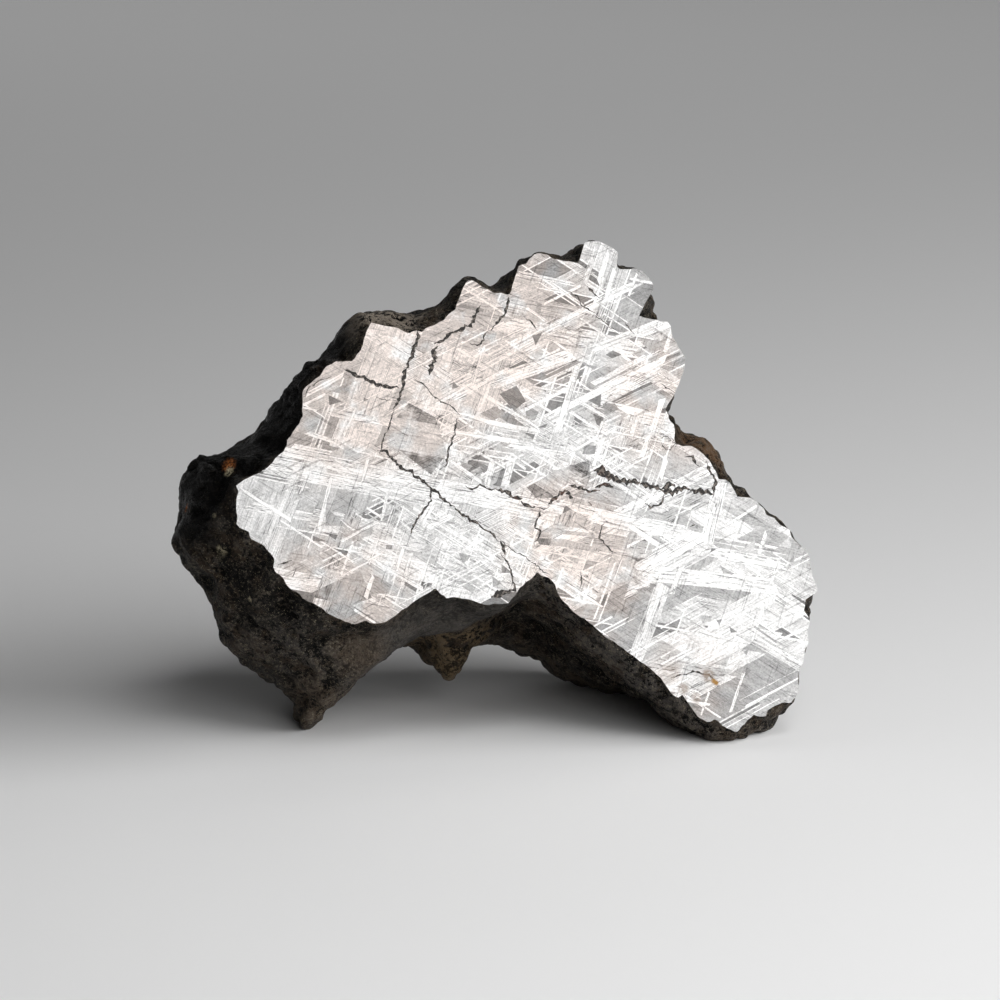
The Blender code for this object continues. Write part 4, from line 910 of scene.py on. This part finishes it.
def makeLump():
    # one closed mesh: the flat cut, triangulated, and the crust's rings closed on one point at the back
    rings, rough = crustSurface()
    rows, columns = rings.shape[:2]
    rim = rings[0, :, :2]
    rng = np.random.default_rng(etch["crack"]["seed"])
    plates = makePlates(rim)
    crackOutlines = [crackOutline(half, points, rng) for half, *points in cracks]
    flat, triangles, fromRim = flatFace(rim, [outline for outline, *_ in plates] + crackOutlines)

    inner = np.flatnonzero(fromRim < 0)
    number = fromRim.copy()
    number[inner] = rows * columns + 1 + np.arange(len(inner))
    pole = rings[-1].mean(axis=0) + np.array([0, 0, lump["poleBeyond"]])
    places = np.concatenate([rings.reshape(-1, 3), pole[None], np.pad(flat[inner], ((0, 0), (0, 1)))])
    points = inFrame(places)
    points[:, 2] = np.maximum(points[:, 2], 0)  # nothing goes under the floor

    quads, fan, crustUv = crustFaces(rows, columns)
    cut = number[triangles]
    backward = doubleArea(*(places[cut[:, i]] for i in range(3))) < 0
    cut[backward] = cut[backward][:, ::-1]
    mesh = bpy.data.meshes.new("iron_meteorite_lump")
    mesh.from_pydata(points.tolist(), [], quads.tolist() + fan.tolist() + cut.tolist())
    mesh.update()
    crustCount = len(quads) + len(fan)
    onCut = np.arange(crustCount + len(cut)) >= crustCount
    mesh.polygons.foreach_set("material_index", onCut.astype(np.int32))
    mesh.polygons.foreach_set("use_smooth", ~onCut)

    attribute(mesh, "place", "FLOAT_VECTOR", "POINT", places)
    attribute(mesh, "rough", "FLOAT", "POINT", np.concatenate([rough.ravel(), np.zeros(1 + len(inner))]))
    looks, across = cutLooks(cut, places[:, :2], plates, crackOutlines)
    for name, values in looks.items():
        kind = "FLOAT_VECTOR" if values.ndim == 2 else "FLOAT"
        values = np.concatenate([np.zeros((crustCount,) + values.shape[1:]), values])
        attribute(mesh, name, kind, "FACE", values)
    attribute(mesh, "across", "FLOAT", "CORNER", np.concatenate([np.zeros(len(crustUv)), across.ravel()]))
    cutUv = places[cut][..., :2].reshape(-1, 2) * faceMap["cutScale"] + faceMap["cutMiddle"]
    layer = mesh.uv_layers.new(name="OFBake")
    layer.data.foreach_set("uv", np.concatenate([crustUv, cutUv]).ravel().astype(np.float32))

    piece = bpy.data.objects.new("iron_meteorite_lump", mesh)
    bpy.context.scene.collection.objects.link(piece)
    return piece


class Value:
    # something that nodes work out: a number takes the ordinary signs, and each sign adds a Math node
    def __init__(self, tree, socket):
        self.tree = tree
        self.socket = socket

    @classmethod
    def node(cls, tree, kind, settings, inputs, *outs):
        # adds a node, its settings first and then its sockets; gives its first output, or those named
        node = tree.nodes.new(kind)
        for name, value in settings.items():
            setattr(node, name, value)
        fillSockets(node, inputs)
        found = [cls(tree, node.outputs[out]) for out in outs or (0,)]
        return found if len(found) > 1 else found[0]

    def math(self, kind, *others):
        # one Math node of this kind on this value and the others
        return Value.node(self.tree, "ShaderNodeMath", {"operation": kind}, (self, *others))

    def __add__(self, other):
        return self.math("ADD", other)

    def __sub__(self, other):
        return self.math("SUBTRACT", other)

    def __rsub__(self, other):
        return Value.node(self.tree, "ShaderNodeMath", {"operation": "SUBTRACT"}, (other, self))

    def __mul__(self, other):
        return self.math("MULTIPLY", other)

    def __abs__(self):
        return self.math("ABSOLUTE")

    __radd__ = __add__
    __rmul__ = __mul__


def fillSockets(node, inputs):
    # inputs: a sequence in order, or names or numbers with their values; a Value is linked, the rest are set
    for name, value in inputs.items() if isinstance(inputs, dict) else enumerate(inputs):
        if isinstance(value, Value):
            value.tree.links.new(value.socket, node.inputs[name])
        else:
            node.inputs[name].default_value = value


def readMesh(tree, name, out="Fac"):
    # what the mesh stores under this name
    return Value.node(tree, "ShaderNodeAttribute", {"attribute_name": name}, (), out)


def coordinates(tree, vector):
    # the three coordinates of a place
    return Value.node(tree, "ShaderNodeSeparateXYZ", {}, (vector,), "X", "Y", "Z")


def joined(tree, x, y, z):
    # the place that has these coordinates
    return Value.node(tree, "ShaderNodeCombineXYZ", {}, (x, y, z))


def noise(tree, vector, scale, detail=3.0, rough=0.5):
    # soft noise about 0.5, finer where the scale is larger
    inputs = {"Vector": vector, "Scale": scale, "Detail": detail, "Roughness": rough}
    return Value.node(tree, "ShaderNodeTexNoise", {}, inputs)


def stepUp(value, start, end):
    # 0 before start, 1 after end, with a smooth S between
    inputs = {"Value": value, "From Min": start, "From Max": end, "To Min": 0.0, "To Max": 1.0}
    return Value.node(value.tree, "ShaderNodeMapRange", {"interpolation_type": "SMOOTHSTEP"}, inputs)


def limited(value):
    # held between 0 and 1
    return Value.node(value.tree, "ShaderNodeClamp", {}, (value, 0.0, 1.0))


def blend(factor, first, second, kind="MIX"):
    # mixes two colours, each a Value or (red, green, blue); the node takes them in its sockets 6 and 7, and
    # gives the mixed one in its output 2
    first, second = (colour if isinstance(colour, Value) else (*colour, 1) for colour in (first, second))
    settings = {"data_type": "RGBA", "blend_type": kind}
    return Value.node(factor.tree, "ShaderNodeMix", settings, {0: factor, 6: first, 7: second}, 2)


innerShare = 0.35


def near(place, centre, radius):
    # 1 at a place on the lump and over the inner share of this radius in mm, falling to 0 at the radius
    settings = {"operation": "DISTANCE"}
    distance = Value.node(place.tree, "ShaderNodeVectorMath", settings, (place, centre), "Value")
    return 1 - stepUp(distance, radius * innerShare, radius)


def newMaterial(name):
    # a material with its node tree and its shader
    material = bpy.data.materials.new(name)
    material.use_nodes = True
    return material, material.node_tree, material.node_tree.nodes["Principled BSDF"]


# A noise is (scale, detail, roughness), and an edge is where it steps up from 0 to 1.
etchLook = {
    "bright": (0.925, 0.917, 0.911),
    "black": (0.0, 0.0, 0.0),
    "tint": (0.97, 0.887, 0.84),
    "crack": (0.028, 0.025, 0.023),
    "rustyCrack": (0.09, 0.045, 0.03),
    "paleCrack": (0.20, 0.17, 0.15),
    "amber": (0.36, 0.20, 0.06),
    "umber": (0.25, 0.18, 0.13),
    "gain": 1.07,
    "contrast": 1.55,
    "metallic": 0.85,
    "roughness": 0.66,
    "crackRoughness": 0.2,
    "streaks": {"stretch": (0.10, 1.6), "noise": (1.0, 2.0), "least": 0.25, "lined": 0.35},
    "clouds": {"noise": (0.35, 4.0, 0.65), "strength": 0.42},
    "grit": {"noise": (3.6, 3.0, 0.75), "strength": 0.8},
    "hairs": {"stretch": (0.16, 4.5), "noise": (1.0, 1.0), "half": 0.035, "least": 0.1, "lined": 0.4},
    "hairSheen": {"noise": (1.0, 2.0), "strength": 0.12},
    # fine lines in all four directions, light and dark, in patches that differ from one direction to the next
    "lines": {
        "stretch": (0.14, 3.2), "noise": (1.0, 1.0), "seedStep": 7.0,
        "patchScale": 0.16, "scaleStep": 0.03, "patchDetail": 2.0, "patchEdge": (0.42, 0.6),
        "lightEdge": (0.62, 0.66), "light": 0.1, "darkEdge": (0.33, 0.36), "dark": 0.2,
    },
    "borders": {"width": 0.07, "noise": (0.5, 2.0), "edge": (0.35, 0.6), "strength": 0.4},
    "tints": [  # warmer places: centre, radius in mm, strength
        ((-12.0, 17.0, 0), 19.0, 1.6), ((0.0, 21.0, 0), 14.0, 1.2), ((5.0, -12.0, 0), 12.0, 1.1),
        ((18.2, -26.8, 0), 9.0, 0.5), ((18.5, 9.0, 0), 12.0, 0.9), ((-25.0, -13.0, 0), 13.0, 1.0),
        ((-24.0, 10.0, 0), 12.0, 1.0), ((3.0, -6.0, 0), 10.0, 0.9),
    ],
    "tinting": {"noise": (0.25, 3.0), "edge": (0.3, 0.62), "onBlack": 2.3, "lessOnBright": 1.7},
    "rusty": {"place": (4.0, -2.2, 0), "radius": 9.0, "noise": (1.3, 2.0), "edge": (0.5, 0.6)},
    "pale": {"noise": (2.6, 2.0), "edge": (0.5, 0.58), "strength": 0.8},
    "stains": [  # by the lower right edge: place, radius in mm, colour and strength
        ((20.5, -26.0, 0.0), 1.1, "umber", 0.75), ((17.2, -27.4, 0.0), 1.0, "umber", 0.6),
        ((18.7, -28.7, 0.0), 0.9, "umber", 0.5), ((15.6, -25.4, 0.0), 1.8, "umber", 0.3),
        ((21.15, -26.75, 0.0), 0.42, "amber", 1.0), ((21.5, -27.0, 0.0), 0.45, "amber", 1.0),
    ],
    "staining": {"noise": (1.8, 3.0, 0.6), "edge": (0.36, 0.5)},
}


def grained(tree, s, t, cosine, sine, stretch, seed):
    # a place turned to a direction and scaled along and across it, so that noise there runs in that direction
    return joined(tree, (s * cosine + t * sine) * stretch[0], (t * cosine - s * sine) * stretch[1], seed)


def patchy(place, look):
    # 1 in patches, 0 between them
    return stepUp(noise(place.tree, place, *look["noise"]), *look["edge"])


def etchPattern(tree, place):
    # brightness of the etched iron, from 0 to 1: the plate's own, times 1 with streaks, clouds, grit, fine
    # lines, hairlines and borders added or taken off, then gain and contrast; and the hairlines' coordinates
    s, t, _ = coordinates(tree, place)
    cosine, sine, seed = coordinates(tree, readMesh(tree, "grain", "Vector"))
    half = readMesh(tree, "half")
    lined = readMesh(tree, "lined")
    look = etchLook["streaks"]
    streaks = noise(tree, grained(tree, s, t, cosine, sine, look["stretch"], seed), *look["noise"])
    value = 1 + (streaks - 0.5) * (look["least"] + lined * look["lined"])
    for look in (etchLook["clouds"], etchLook["grit"]):
        value = value + (noise(tree, place, *look["noise"]) - 0.5) * look["strength"]
    look = etchLook["hairs"]
    hairs = grained(tree, s, t, cosine, sine, look["stretch"], seed)
    hair = 1 - stepUp(abs(noise(tree, hairs, *look["noise"]) - 0.5), 0.0, look["half"])
    value = value - hair * (look["least"] + lined * look["lined"])
    look = etchLook["lines"]
    for number, degrees in enumerate(etch["angles"]):
        cosine, sine = math.cos(math.radians(degrees)), math.sin(math.radians(degrees))
        lines = grained(tree, s, t, cosine, sine, look["stretch"], number * look["seedStep"])
        found = noise(tree, lines, *look["noise"])
        patches = noise(tree, place, look["patchScale"] + look["scaleStep"] * number, look["patchDetail"])
        where = stepUp(patches, *look["patchEdge"])
        light, dark = stepUp(found, *look["lightEdge"]), 1 - stepUp(found, *look["darkEdge"])
        value = value + light * where * look["light"] - dark * where * look["dark"]
    look = etchLook["borders"]
    border = (1 - stepUp(half - abs(readMesh(tree, "across")), 0.0, look["width"])) * patchy(place, look)
    value = readMesh(tree, "shade") * (value - border * look["strength"])
    return limited((value * etchLook["gain"]).math("POWER", etchLook["contrast"])), hairs


def etchMaterial():
    # bright plates, warmer in places, under the dark fillings of the cracks and a few stains
    material, tree, shader = newMaterial("etched_iron")
    place = readMesh(tree, "place", "Vector")
    value, hairs = etchPattern(tree, place)
    colour = blend(value, etchLook["black"], etchLook["bright"])
    tinted = sum(near(place, centre, radius) * strength for centre, radius, strength in etchLook["tints"])
    look = etchLook["tinting"]
    tinted = tinted * patchy(place, look) * (look["onBlack"] - value * look["lessOnBright"])
    colour = blend(limited(tinted), colour, etchLook["tint"], "MULTIPLY")
    look = etchLook["rusty"]
    rusty = near(place, look["place"], look["radius"]) * patchy(place, look)
    filling = blend(rusty, etchLook["crack"], etchLook["rustyCrack"])
    look = etchLook["pale"]
    filling = blend(patchy(place, look) * look["strength"], filling, etchLook["paleCrack"])
    crack = readMesh(tree, "crack")
    colour = blend(crack, colour, filling)
    for centre, radius, kind, strength in etchLook["stains"]:
        stain = near(place, centre, radius) * patchy(place, etchLook["staining"]) * strength
        colour = blend(stain, colour, etchLook[kind])
    look = etchLook["hairSheen"]
    sheen = (noise(tree, hairs, *look["noise"]) - 0.5) * look["strength"]
    fillSockets(shader, {
        "Base Color": colour,
        "Metallic": etchLook["metallic"] * (1 - crack),
        "Roughness": etchLook["roughness"] + crack * etchLook["crackRoughness"] + sheen,
    })
    return material


crustLook = {
    # painted shade for the crust's creases, near black
    "paintedCreviceShade": (0.0010, 0.0009, 0.0008),
    "black": (0.0008, 0.0007, 0.0007),
    # dark crust, and painted shade where it fills the recess behind the strip under the cut's lower right
    # edge
    "darkCrustAndPaintedShade": (0.010, 0.0087, 0.0078),
    "dark": (0.022, 0.0188, 0.0162),
    "brown": (0.076, 0.053, 0.036),
    # paler copies of the dark and brown for the back: painted light
    "darkWithPaintedLightBehind": (0.085, 0.072, 0.061),
    "brownWithPaintedLightBehind": (0.16, 0.120, 0.088),
    "grey": (0.085, 0.079, 0.072),
    "olive": (0.28, 0.20, 0.115),
    "tan": (0.165, 0.124, 0.089),
    "strip": (0.145, 0.132, 0.12),
    # brown-grey made bright: painted light on the top rim
    "ledgeWithPaintedLight": (0.46, 0.39, 0.32),
    "orange": (0.22, 0.12, 0.06),
    "rust": (0.5, 0.17, 0.05),
    # the pale flake's colour, also used for the painted highlights on the grain
    "pale": (0.60, 0.53, 0.36),
    # pale flecks of the crust's own, and partly painted highlights
    "paleSpeckAndPaintedGlint": (0.22, 0.185, 0.145),
    "metallic": 0.1,
    "specular": 0.13,
    "roughness": 0.5,
    "glossyRoughness": 0.24,  # less on the glossy places
    "midRoughness": 0.6,  # how strongly the noises vary the roughness
    "tinyRoughness": 0.3,
    "bump": 0.0013,  # m
    "bumpHeights": {"mid": 1.6, "small": 0.9, "folds": 0.16, "tiny": 0.3},
    "behind": (12.0, 22.0),  # mm of depth over which the crust grows paler: painted light that lifts the back out of its shade
    "broad": (0.16, 3.0, 0.6),
    "mid": (0.55, 4.0, 0.65),
    "small": (2.3, 5.0, 0.78),
    "tiny": (6.5, 2.0, 0.6),
    "blotches": {"noise": (0.42, 4.0, 0.7), "edge": (0.43, 0.54)},
    "folds": {"Scale": 0.3, "Distortion": 14.0, "Detail": 3.0, "Detail Scale": 1.3, "Detail Roughness": 0.65},
    "grain": {"small": 0.45, "folds": 0.35, "tiny": 0.2, "rough": 0.45, "blotch": 0.34},
    "streaks": {  # along the scoop: they sway with a broad noise, and slope
        "bend": (0.12, 2.0), "sway": 9, "slope": 0.18, "stretch": (0.22, 2.4), "noise": (1.0, 4.0, 0.65),
    },
    "scoopSize": 1.3,  # times the smooth places of the relief
    "quieting": {"scoop": 0.75, "glossy": 0.93},  # share of the grain that they lack
    "strengths": {
        "grey": 0.7, "scoop": 0.85, "behind": 0.4, "paleSpeckAndPaintedGlint": 0.6, "paintedGlint": 0.6, "streak": (0.7, 0.15),
    },
    "least": {"gloss": 0.6, "paintedCreviceShade": 0.25, "bump": 0.3},
    "steps": {  # where each noise, or the grain made of them, steps up from 0 to 1
        "smallGrain": (0.43, 0.57), "tinyGrain": (0.4, 0.6), "brown": (0.42, 0.58), "grey": (0.48, 0.56),
        "patch": (0.38, 0.5), "streak": (0.38, 0.62), "gloss": (0.32, 0.44), "paintedCreviceShade": (0.22, 0.5),
        "paleSpeckAndPaintedGlint": (0.6, 1.0), "speckPatch": (0.42, 0.54), "tinyGlint": (0.58, 0.62),
        "smallGlint": (0.51, 0.55), "spot": (0.44, 0.5),
    },
}
# Places on the crust with a colour of their own, some of them painted shade and some painted light: across,
# up, depth, radius in mm, colour and strength.
crustPatches = [
    (-8.8, -19.5, 16.0, 10.0, "olive", 0.9), (-27.0, -25.0, 12.0, 6.0, "tan", 0.8),
    # the patches on the top rim, after the orange one, are painted light
    (23.3, 3.3, 4.0, 6.0, "orange", 0.9), (-14.5, 22.0, 3.3, 5.6, "ledgeWithPaintedLight", 1.0),
    (-18.5, 21.5, 3.3, 4.5, "ledgeWithPaintedLight", 0.85), (21.3, -32.8, 3.0, 7.0, "tan", 0.6),
    # of the dark patches that follow, the first is the lower left mass's own dark tone, and the other three
    # are painted shade in the recess behind the strip under the cut's lower right edge
    (-35.3, -13.0, 4.5, 7.0, "darkCrustAndPaintedShade", 0.9), (3.6, -19.0, 15.0, 7.0, "darkCrustAndPaintedShade", 0.95),
    (9.0, -23.5, 11.0, 5.5, "darkCrustAndPaintedShade", 0.95), (13.2, -26.8, 11.0, 5.5, "darkCrustAndPaintedShade", 0.9),
    (0.5, -13.6, 2.1, 4.2, "strip", 0.9), (3.5, -17.2, 2.5, 4.0, "strip", 0.85),
    (7.6, -21.6, 2.6, 4.6, "strip", 0.85), (12.3, -25.8, 2.2, 5.0, "strip", 0.85),
    (18.1, -31.3, 1.8, 5.5, "strip", 0.8), (-31.0, -18.0, 8.0, 8.0, "strip", 0.35),
    (-5.0, -16.0, 3.0, 4.0, "strip", 0.8),
]
# The same on the scoop under the cut: its brown rounded end, and the paler grey along it.
scoopPatches = [
    (-22.6, -19.2, 4.8, 5.2, "tan", 0.55), (-17.0, -18.4, 4.0, 5.0, "strip", 0.3),
    (-11.5, -17.2, 3.6, 5.0, "strip", 0.3),
]
# Rust and the pale flake on the left end.
crustSpots = [
    (-36.9, 4.9, 4.4, 1.3, "rust"), (-37.0, 4.0, 4.0, 0.9, "pale"), (-42.1, 0.2, 8.0, 0.8, "rust"),
    (-39.2, -1.5, 2.9, 0.6, "pale"), (-38.6, -5.6, 5.0, 1.0, "pale"), (-39.2, -6.6, 5.0, 1.1, "pale"),
    (-35.7, -12.0, 4.4, 0.5, "pale"),
]
# Glossy black places, where the grain is quiet.
glossyPlaces = [
    (-40.0, 3.5, 7.0, 9.0), (-40.8, -0.3, 7.0, 7.0), (-34.0, 7.5, 5.0, 10.0), (-29.5, 12.5, 5.0, 10.0),
    (-24.5, 18.0, 5.5, 8.0),
]


def allNear(place, places, stretch=1.0):
    # 1 inside any of these places
    return limited(sum(near(place, centre, radius * stretch) for *centre, radius in places))


def crustStep(value, name):
    # 0 below the first value of the named step and 1 above the second
    return stepUp(value, *crustLook["steps"][name])


def atLeast(name, mask):
    # least + mask * (1 - least)
    return crustLook["least"][name] + mask * (1 - crustLook["least"][name])


def scoopStreaks(tree, place, tiny):
    # fine streaks that run along the scoop
    look = crustLook["streaks"]
    s, t, depth = coordinates(tree, place)
    bent = t - noise(tree, place, *look["bend"]) * look["sway"] - s * look["slope"]
    along, side = look["stretch"]
    lines = joined(tree, s * along, bent * side, depth * side)
    streak, speckle = crustLook["strengths"]["streak"]
    found = crustStep(noise(tree, lines, *look["noise"]), "streak")
    return found * streak + crustStep(tiny, "tinyGrain") * speckle


def crustMaterial():
    # dark and brown crust with places of its own colour; painted shade, near black, in its creases and in one
    # recess; pale flecks on its raised grain that are partly painted highlights, and tiny painted highlights;
    # painted light on the top rim, and a paler back that is painted light too
    material, tree, shader = newMaterial("meteorite_crust")
    look, strength = crustLook, crustLook["strengths"]
    place = readMesh(tree, "place", "Vector")
    broad, mid, small, tiny = (noise(tree, place, *look[name]) for name in ("broad", "mid", "small", "tiny"))
    waves = {"wave_type": "BANDS", "bands_direction": "DIAGONAL", "wave_profile": "SIN"}
    folds = Value.node(tree, "ShaderNodeTexWave", waves, {"Vector": place, **look["folds"]}, "Fac")
    scoop = allNear(place, crustRelief["smoothPlaces"], look["scoopSize"])
    glossy = allNear(place, glossyPlaces)
    quiet = 1 - (scoop * look["quieting"]["scoop"]).math("MAXIMUM", glossy * look["quieting"]["glossy"])
    weight = look["grain"]
    grain = crustStep(small, "smallGrain") * weight["small"] + folds * weight["folds"]
    grain = grain + crustStep(tiny, "tinyGrain") * weight["tiny"] + readMesh(tree, "rough") * weight["rough"]
    grain = grain + (patchy(place, look["blotches"]) - 0.5) * weight["blotch"]

    # painted light: the crust grows paler towards the back, which lies in shade, and its creases darken less
    # there
    behind = stepUp(coordinates(tree, place)[2], *look["behind"])
    dark = blend(behind, look["dark"], look["darkWithPaintedLightBehind"])
    brown = blend(behind, look["brown"], look["brownWithPaintedLightBehind"])
    colour = blend(crustStep(broad, "brown"), dark, brown)
    colour = blend(crustStep(mid, "grey") * strength["grey"], colour, look["grey"])
    for *centre, radius, kind, amount in crustPatches:
        colour = blend(near(place, centre, radius) * crustStep(mid, "patch") * amount, colour, look[kind])
    streaked = blend(scoopStreaks(tree, place, tiny), look["dark"], look["grey"])
    colour = blend(scoop * strength["scoop"], colour, streaked)
    for *centre, radius, kind, amount in scoopPatches:
        colour = blend(near(place, centre, radius) * amount, colour, look[kind])
    colour = blend(glossy * atLeast("gloss", crustStep(mid, "gloss")), colour, look["black"])
    # painted shade: the grain's low places, which follow the relief's creases, are darkened towards black as
    # if shaded; less on the smooth scoop and the glossy places, and less on the back
    creviceShadeAmount = atLeast("paintedCreviceShade", quiet) * (1 - behind * strength["behind"])
    colour = blend((1 - crustStep(grain, "paintedCreviceShade")) * creviceShadeAmount, colour, look["paintedCreviceShade"])
    # pale flecks on the grain's raised places: partly the crust's own pale grains, partly painted highlights
    paleFlecksAndPaintedGlints = crustStep(grain, "paleSpeckAndPaintedGlint") * quiet * crustStep(mid, "speckPatch")
    colour = blend(paleFlecksAndPaintedGlints * strength["paleSpeckAndPaintedGlint"], colour, look["paleSpeckAndPaintedGlint"])
    # painted highlights: tiny pale dots where two fine noises peak, standing in for glints of light
    paintedGlints = crustStep(tiny, "tinyGlint") * crustStep(small, "smallGlint") * quiet
    colour = blend(paintedGlints * strength["paintedGlint"], colour, look["pale"])
    for *centre, radius, kind in crustSpots:
        colour = blend(near(place, centre, radius) * crustStep(small, "spot"), colour, look[kind])

    tall = look["bumpHeights"]
    fine = small * tall["small"] + folds * tall["folds"] + tiny * tall["tiny"]
    height = mid * tall["mid"] + fine * atLeast("bump", quiet)
    varied = (mid - 0.5) * look["midRoughness"] + (tiny - 0.5) * look["tinyRoughness"]
    bump = Value.node(tree, "ShaderNodeBump", {}, {"Distance": look["bump"], "Height": height})
    fillSockets(shader, {
        "Base Color": colour,
        "Metallic": look["metallic"],
        "Specular IOR Level": look["specular"],
        "Roughness": look["roughness"] - glossy * look["glossyRoughness"] + varied,
        "Normal": bump,
    })
    return material


lumpPiece = makeLump()
lumpPiece.data.materials.append(crustMaterial())
lumpPiece.data.materials.append(etchMaterial())
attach(lumpPiece, "root")
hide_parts("iron_meteorite")
print("lump made:", len(lumpPiece.data.polygons), "faces")


studio = {
    "floorAlbedo": 0.85,
    "floorRoughness": 0.9,
    "floorSpecular": 0.1,
    "floorHalf": 4.0,  # m
    # each panel's place and target, width and height in m, power in W and spread in degrees
    "panels": [
        ((0.66, -0.16, 0.34), (0.0, -0.10, 0.0), (0.7, 0.4), 2.1, 100.0),  # key, from the right
        ((0.35, -0.66, 0.42), (0.0, -0.02, 0.03), (0.6, 0.6), 0.9, 120.0),  # fill, from the front
        ((0.14, -0.26, 0.46), (0.07, -0.14, 0.0), (0.3, 0.3), 0.12, 50.0),  # on the floor before the lump
        ((0.0, 0.60, 0.45), (0.0, 0.60, 0.0), (1.5, 0.2), 0.5, 100.0),  # on the floor behind it
        ((-0.08, 0.62, 0.36), (0.0, 0.0, 0.03), (0.5, 0.3), 0.045, 60.0),  # on the lump's back
    ],
    "ambient": 0.03,
}
view = {
    "target": (0.0000884, -0.0083611, 0.0296406),  # m
    "elevation": 16.0,  # degrees
    "distance": 0.5,  # m
    "lens": 144.0,  # mm
    "sensor": 36.0,  # mm
    "nearest": 0.01,  # m
}


def added(name, data):
    # a new object in the scene for this mesh, lamp or camera
    thing = bpy.data.objects.new(name, data)
    bpy.context.scene.collection.objects.link(thing)
    return thing


def aimed(place, target):
    # the turn that points a lamp or camera from a place at its target
    return (Vector(target) - Vector(place)).to_track_quat("-Z", "Y").to_euler()


def makeFloor():
    # a pale matt card that fills the view
    mesh = bpy.data.meshes.new("floor")
    corners = np.array([(-1, -1, 0), (1, -1, 0), (1, 1, 0), (-1, 1, 0)]) * studio["floorHalf"]
    mesh.from_pydata(corners.tolist(), [], [(0, 1, 2, 3)])
    material, _, shader = newMaterial("floor_card")
    fillSockets(shader, {
        "Base Color": (studio["floorAlbedo"],) * 3 + (1,),
        "Roughness": studio["floorRoughness"],
        "Specular IOR Level": studio["floorSpecular"],
    })
    mesh.materials.append(material)
    added("floor", mesh)


def makeLights():
    # soft panels, each turned to its target, and a faint even light from all round
    for number, (place, target, size, power, spread) in enumerate(studio["panels"]):
        light = bpy.data.lights.new("softbox_%d" % number, "AREA")
        light.shape = "RECTANGLE"
        light.size, light.size_y = size
        light.energy = power
        light.spread = math.radians(spread)
        lamp = added(light.name, light)
        lamp.location = place
        lamp.rotation_euler = aimed(place, target)
    world = bpy.data.worlds.new("studio")
    world.use_nodes = True
    fillSockets(world.node_tree.nodes["Background"], {"Color": (1, 1, 1, 1), "Strength": studio["ambient"]})
    bpy.context.scene.world = world


def makeCamera():
    # looks at its target from the front, raised by the elevation
    camera = bpy.data.cameras.new("camera")
    camera.lens = view["lens"]
    camera.sensor_width = view["sensor"]
    camera.clip_start = view["nearest"]
    holder = added("camera", camera)
    tilt = math.radians(view["elevation"])
    holder.location = Vector(view["target"]) + Vector((0, -math.cos(tilt), math.sin(tilt))) * view["distance"]
    holder.rotation_euler = aimed(holder.location, view["target"])
    bpy.context.scene.camera = holder


makeFloor()
makeLights()
makeCamera()
bpy.context.scene.view_settings.view_transform = "Standard"
print("studio made")
